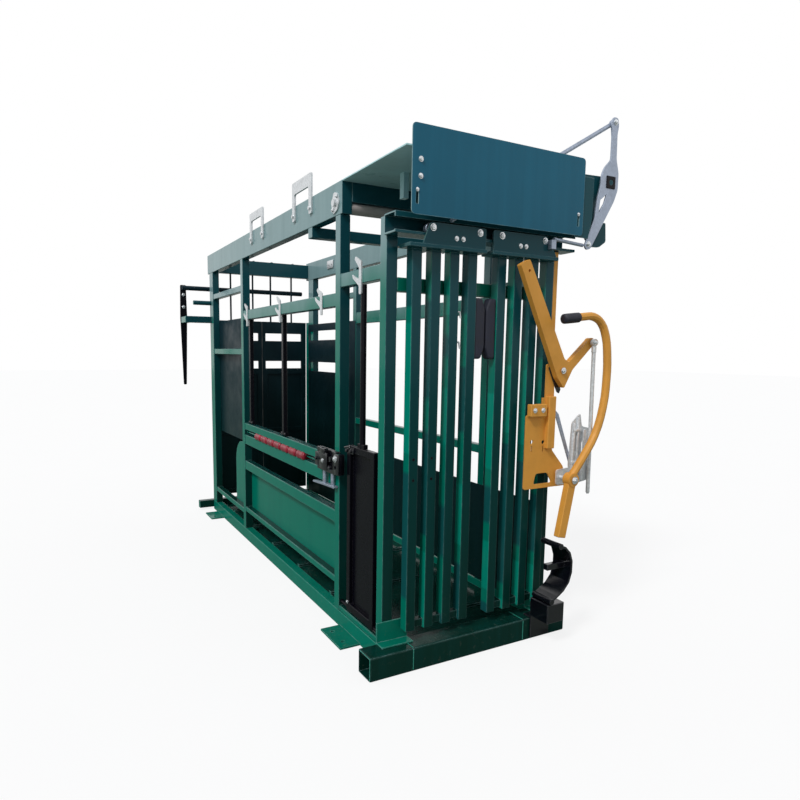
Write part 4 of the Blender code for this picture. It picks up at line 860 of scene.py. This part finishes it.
class CRUSH_OT_door_catch(bpy.types.Operator):
    """Catch and hinge bolt of the drop-down door"""
    bl_idname = "crush.door_catch"
    bl_label = "Door catch"

    def execute(self, context):
        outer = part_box("side_door_left")[0][0]
        shape = bmesh.new()
        block(shape, (outer - 0.006, 0.318, 0.846), (outer + 0.001, 0.384, 0.874), 0.002)
        rod(shape, (outer - 0.002, 0.336, 0.860), (outer - 0.016, 0.336, 0.860), 0.009, 12)
        rod(shape, (outer - 0.002, 0.366, 0.860), (outer - 0.020, 0.366, 0.860), 0.008, 12)
        rod(shape, (outer - 0.016, 0.326, 0.884), (outer - 0.016, 0.380, 0.872), 0.005, 12)
        rod(shape, (outer - 0.016, 0.336, 0.880), (outer - 0.014, 0.336, 0.862), 0.004, 12)
        add_piece("door_catch", shape, "side_door", "gloss black")
        bolts("door_hinge_bolt", [(outer, 0.378, 0.150)], OUTWARD, "side_door", 0.6)
        return {"FINISHED"}


class CRUSH_OT_red_rollers(bpy.types.Operator):
    """Row of red rubber rollers between the side rails"""
    bl_idname = "crush.red_rollers"
    bl_label = "Red rollers"

    def execute(self, context):
        low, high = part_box("bumper_sleeve")
        middle = (low[2] + high[2]) / 2
        pitch = (high[1] - low[1]) / ROLLER_COUNT
        shape = bmesh.new()
        for index in range(ROLLER_COUNT):
            foot = low[1] + index * pitch + ROLLER_GAP / 2
            place = (Matrix.Translation((-0.4440, foot, middle))
                     @ Matrix.Rotation(-math.pi / 2, 4, "X")
                     @ Matrix.Diagonal((*ROLLER_SIZE, 1.0, 1.0)))
            turned(shape, place, ROLLER_PROFILE, 20)
            block(shape, (-0.4380, foot + 0.010, middle - 0.0160),
                  (-0.4080, foot + pitch - ROLLER_GAP - 0.010, middle + 0.0160), 0.002)
        rod(shape, (-0.4220, low[1] - 0.210, middle), (-0.4220, high[1] + 0.120, middle), 0.0068)
        piece = add_piece("red_rollers", shape, "frame", "red rubber", 50)
        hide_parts("bumper_sleeve")
        return {"FINISHED"}


class CRUSH_OT_neck_pads(bpy.types.Operator):
    """Padded faces of the head gate"""
    bl_idname = "crush.neck_pads"
    bl_label = "Neck pads"

    def execute(self, context):
        for word, body, side in (("left", "left_leaf", -1), ("right", "right_leaf", 1)):
            low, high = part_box("neck_pad_" + word)
            out = low[0] if side < 0 else high[0]
            near = high[0] if side < 0 else low[0]
            slope, rise = 0.018, 0.045
            outline = eased(((out, low[2]), (near + side * slope, low[2]), (near, low[2] + rise),
                             (near, high[2] - rise), (near + side * slope, high[2]),
                             (out, high[2])), 0.008)
            front, back = low[1], high[1]
            layers = ((back, 0.0030), (back - 0.003, 0.0008), (back - 0.008, 0.0002),
                      (front + 0.010, 0.0002), (front + 0.005, 0.0012), (front + 0.002, 0.0035),
                      (front + 0.0006, 0.0075), (front, 0.0120))
            shape = bmesh.new()
            crowned(shape, outline, layers)
            piece = add_piece("neck_cushion_" + word, shape, body, "pad rubber", 60)
            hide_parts("neck_pad_" + word)
        return {"FINISHED"}


class CRUSH_OT_gate_details(bpy.types.Operator):
    """Black discs of painted shade for bolt holes, and pins, of the left leaf's bars"""
    bl_idname = "crush.gate_details"
    bl_label = "Gate details"

    def execute(self, context):
        front = -0.008
        shape = bmesh.new()
        # Painted shade: black discs stand for the dark inside of bolt holes
        for across in (-0.344, -0.257):
            for tall in (0.870, 0.785):
                drum(shape, facing((across, front, tall), FORWARD), 0.0060, -0.002, 0.0004, 20)
        add_piece("bar_hole_shades", shape, "left_leaf", "black paint")
        shape = bmesh.new()
        for tall in (1.460, 1.338):
            rod(shape, (-0.1475, 0.008, tall), (-0.1280, 0.004, tall), 0.0035, 12)
            rod(shape, (-0.1295, 0.004, tall + 0.002), (-0.1250, 0.002, tall - 0.026), 0.0035, 12)
        add_piece("bar_pins", shape, "left_leaf", "new zinc")
        return {"FINISHED"}


class CRUSH_OT_grip_cap(bpy.types.Operator):
    """End cap and ribs of the handle's grip"""
    bl_idname = "crush.grip_cap"
    bl_label = "Grip cap"

    def execute(self, context):
        start = Vector(GRIP_START)
        place = facing(start, (start - Vector(GRIP_BEND)).normalized())
        shape = bmesh.new()
        drum(shape, place, 0.0212, -0.0740, -0.0715, 28)
        turned(shape, place, ((0.0030, 0.0208), (0.0075, 0.0208), (0.0120, 0.0160),
                              (0.0135, 0.0080)), 28)
        for rib in range(9):
            foot = -0.064 + rib * 0.007
            drum(shape, place, 0.0214, foot, foot + 0.0035, 28)
        add_piece("grip_cap", shape, "handle", "rubber", 40)
        return {"FINISHED"}


class CRUSH_OT_rod_sleeve(bpy.types.Operator):
    """Outer tube of the pull rod and its collar"""
    bl_idname = "crush.rod_sleeve"
    bl_label = "Rod sleeve"

    def execute(self, context):
        pin = Vector(PULL_ROD_PIN)
        end = Vector(PULL_ROD_END)
        line = (end - pin).normalized()
        shape = bmesh.new()
        rod(shape, pin + line * 0.026, end - line * 0.004, 0.0086)
        rod(shape, pin + line * 0.014, pin + line * 0.045, 0.0104)
        add_piece("rod_sleeve", shape, "pull_rod", "new zinc")
        return {"FINISHED"}


class CRUSH_OT_latch_strips(bpy.types.Operator):
    """Strut and guide strips of the neck latch"""
    bl_idname = "crush.latch_strips"
    bl_label = "Latch strips"

    def execute(self, context):
        shape = bmesh.new()
        plate(shape, STRUT_OUTLINE, "XZ", -0.0668, 0.0040)
        add_piece("latch_strut", shape, "right_leaf", "zinc")
        shape = bmesh.new()
        for across, foot, top in ((0.462, 0.735, 0.985), (0.486, 0.730, 1.012)):
            block(shape, (across - 0.005, -0.0812, foot), (across + 0.005, GUIDE_BACK, top), 0.0015)
        block(shape, (0.455, -0.0830, 0.800), (0.500, GUIDE_BACK, 0.815), 0.0015)
        block(shape, (0.455, -0.0830, 0.948), (0.500, GUIDE_BACK, 0.960), 0.0015)
        add_piece("latch_guides", shape, "right_leaf", "new zinc")
        return {"FINISHED"}


class CRUSH_OT_link_bar(bpy.types.Operator):
    """Flat bar over the link rod"""
    bl_idname = "crush.link_bar"
    bl_label = "Link bar"

    def execute(self, context):
        shape = bmesh.new()
        head = Vector((LEVER_TOP[0], 0.0, LEVER_TOP[1]))
        foot = Vector((LINK_FOOT[0], 0.0, LINK_FOOT[1]))
        along = (head - foot).normalized()
        square = Vector((-along.z, 0.0, along.x)) * 0.0090
        corners = (foot + along * 0.020 - square, head - along * 0.016 - square,
                   head - along * 0.016 + square, foot + along * 0.020 + square)
        plate(shape, [(spot.x, spot.z) for spot in corners], "XZ", -0.0675, 0.0090)
        add_piece("link_bar", shape, "link_rod", "zinc")
        return {"FINISHED"}


class CRUSH_OT_bracket_web(bpy.types.Operator):
    """Web between the front panel and the lever bracket"""
    bl_idname = "crush.bracket_web"
    bl_label = "Bracket web"

    def execute(self, context):
        shape = bmesh.new()
        plate(shape, WEB_OUTLINE, "XZ", -0.0824, 0.0030)
        add_piece("bracket_web", shape, "frame", "frame paint")
        return {"FINISHED"}


class CRUSH_OT_neck_stop(bpy.types.Operator):
    """Black stop at the elbow of the neck bar"""
    bl_idname = "crush.neck_stop"
    bl_label = "Neck stop"

    def execute(self, context):
        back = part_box("neck_bar")[1][1]
        shape = bmesh.new()
        plate(shape, eased(STOP_OUTLINE, 0.004, 2), "XZ", back - 0.0005, 0.0050)
        add_piece("neck_stop", shape, "neck_bar", "gloss black")
        return {"FINISHED"}


def lay_floor(scene, settings):
    """The pale floor, whiter to the camera than to the crush."""
    shape = bmesh.new()
    bmesh.ops.create_grid(shape, x_segments=1, y_segments=1, size=FLOOR_HALF)
    mesh = bpy.data.meshes.new("floor")
    shape.to_mesh(mesh)
    shape.free()
    floor = bpy.data.objects.new("floor", mesh)
    scene.collection.objects.link(floor)
    floor.location = (0, 0, -FLOOR_DROP)
    recipe = Recipe("pale_floor")
    recipe.surface.inputs["Roughness"].default_value = 0.9
    cloud = recipe.span(recipe.noise(1.5, 2.0), 0.3, 0.7)
    eye = recipe.node("LightPath")
    pale = recipe.mix(cloud, tuple(settings.floor), shade(settings.floor, 0.985))
    recipe.join(recipe.mix(eye.outputs["Is Camera Ray"], tuple(settings.ground), pale),
                recipe.surface.inputs["Base Color"])
    glow = recipe.node("Emission")
    glow.inputs["Color"].default_value = WHITE
    glow.inputs["Strength"].default_value = 1.0
    share = recipe.node("Math", operation="MULTIPLY")
    recipe.join(eye.outputs["Is Camera Ray"], share.inputs[0])
    share.inputs[1].default_value = settings.floor_white
    whiter = recipe.node("MixShader")
    recipe.join(share.outputs[0], whiter.inputs["Fac"])
    recipe.join(recipe.surface.outputs[0], whiter.inputs[1])
    recipe.join(glow.outputs[0], whiter.inputs[2])
    recipe.join(whiter.outputs[0], recipe.tree.nodes["Material Output"].inputs["Surface"])
    floor.data.materials.append(recipe.material)


def raise_sky(scene, settings):
    """A soft sky that the camera, gloss and glass see as plain white."""
    world = bpy.data.worlds.new("pale_sky")
    scene.world = world
    world.use_nodes = True
    tree = world.node_tree
    back = tree.nodes["Background"]
    back.inputs["Color"].default_value = SKY_TINT
    back.inputs["Strength"].default_value = settings.sky_strength
    white = tree.nodes.new("ShaderNodeBackground")
    white.inputs["Color"].default_value = WHITE
    white.inputs["Strength"].default_value = 1.0
    ray = tree.nodes.new("ShaderNodeLightPath")
    blend = tree.nodes.new("ShaderNodeMixShader")
    seen = ray.outputs["Is Camera Ray"]
    for kind in ("Is Glossy Ray", "Is Transmission Ray"):
        either = tree.nodes.new("ShaderNodeMath")
        either.operation = "MAXIMUM"
        tree.links.new(seen, either.inputs[0])
        tree.links.new(ray.outputs[kind], either.inputs[1])
        seen = either.outputs[0]
    tree.links.new(seen, blend.inputs["Fac"])
    tree.links.new(back.outputs[0], blend.inputs[1])
    tree.links.new(white.outputs[0], blend.inputs[2])
    tree.links.new(blend.outputs[0], tree.nodes["World Output"].inputs["Surface"])


def hang_sun(scene, settings):
    """One soft sun from the front left."""
    sun_data = bpy.data.lights.new("soft_sun", "SUN")
    sun_data.energy = settings.sun_strength
    sun_data.angle = settings.sun_size
    sun = bpy.data.objects.new("soft_sun", sun_data)
    scene.collection.objects.link(sun)
    sun.rotation_euler = Vector(SUN_AIM).to_track_quat("-Z", "Y").to_euler()


def set_camera(scene):
    """The camera that looks at the head gate from the front left."""
    camera_data = bpy.data.cameras.new("photo_camera")
    camera_data.sensor_width = CAMERA_SENSOR
    camera_data.lens = CAMERA_LENS
    camera_data.shift_x, camera_data.shift_y = CAMERA_SHIFT
    camera_data.clip_end = 200.0
    camera = bpy.data.objects.new("photo_camera", camera_data)
    scene.collection.objects.link(camera)
    yaw = math.radians(CAMERA_YAW)
    pitch = math.radians(CAMERA_PITCH)
    roll = math.radians(CAMERA_ROLL)
    forward = Vector((math.sin(yaw) * math.cos(pitch), math.cos(yaw) * math.cos(pitch),
                      -math.sin(pitch)))
    level = Vector((math.cos(yaw), -math.sin(yaw), 0))
    upward = level.cross(forward)
    right = level * math.cos(roll) + upward * math.sin(roll)
    above = upward * math.cos(roll) - level * math.sin(roll)
    turn = Matrix((right, above, -forward)).transposed().to_4x4()
    camera.matrix_world = Matrix.Translation(CAMERA_PLACE) @ turn
    scene.camera = camera


class CRUSH_OT_stage(bpy.types.Operator):
    """Floor, sky, sun and camera"""
    bl_idname = "crush.stage"
    bl_label = "Stage and camera"

    def execute(self, context):
        scene = context.scene
        lay_floor(scene, scene.crush_stage)
        raise_sky(scene, scene.crush_stage)
        hang_sun(scene, scene.crush_stage)
        set_camera(scene)
        scene.view_settings.view_transform = "Standard"
        return {"FINISHED"}


STEPS = (CRUSH_OT_frame_finish, CRUSH_OT_metal_finish, CRUSH_OT_panel_bolts,
         CRUSH_OT_rail_plate, CRUSH_OT_gate_bolts, CRUSH_OT_lever_bolts,
         CRUSH_OT_weld_beads, CRUSH_OT_latch_cover, CRUSH_OT_latch_yoke,
         CRUSH_OT_rail_hook, CRUSH_OT_door_catch, CRUSH_OT_red_rollers,
         CRUSH_OT_neck_pads, CRUSH_OT_gate_details, CRUSH_OT_grip_cap,
         CRUSH_OT_rod_sleeve, CRUSH_OT_latch_strips, CRUSH_OT_link_bar,
         CRUSH_OT_bracket_web, CRUSH_OT_neck_stop, CRUSH_OT_stage)


class CRUSH_PT_sidebar(bpy.types.Panel):
    """Lists the settings and the steps"""
    bl_idname = "CRUSH_PT_sidebar"
    bl_label = "Deer Restraint Crush"
    bl_space_type = "VIEW_3D"
    bl_region_type = "UI"
    bl_category = "Crush"

    def draw(self, context):
        layout = self.layout
        for group in (context.scene.crush_paint, context.scene.crush_fasteners,
                      context.scene.crush_stage):
            box = layout.box()
            for key in group.__annotations__:
                box.prop(group, key)
        for step in STEPS:
            layout.operator(step.bl_idname)


GROUPS = (PaintSettings, FastenerSettings, StageSettings)


def register():
    for made in (*GROUPS, *STEPS, CRUSH_PT_sidebar):
        bpy.utils.register_class(made)
    bpy.types.Scene.crush_paint = PointerProperty(type=PaintSettings)
    bpy.types.Scene.crush_fasteners = PointerProperty(type=FastenerSettings)
    bpy.types.Scene.crush_stage = PointerProperty(type=StageSettings)


def unregister():
    del bpy.types.Scene.crush_stage
    del bpy.types.Scene.crush_fasteners
    del bpy.types.Scene.crush_paint
    for made in reversed((*GROUPS, *STEPS, CRUSH_PT_sidebar)):
        bpy.utils.unregister_class(made)


def main():
    """Registers the add-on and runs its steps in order."""
    register()
    for step in STEPS:
        getattr(bpy.ops.crush, step.bl_idname.removeprefix("crush."))()


if __name__ == "__main__":
    main()
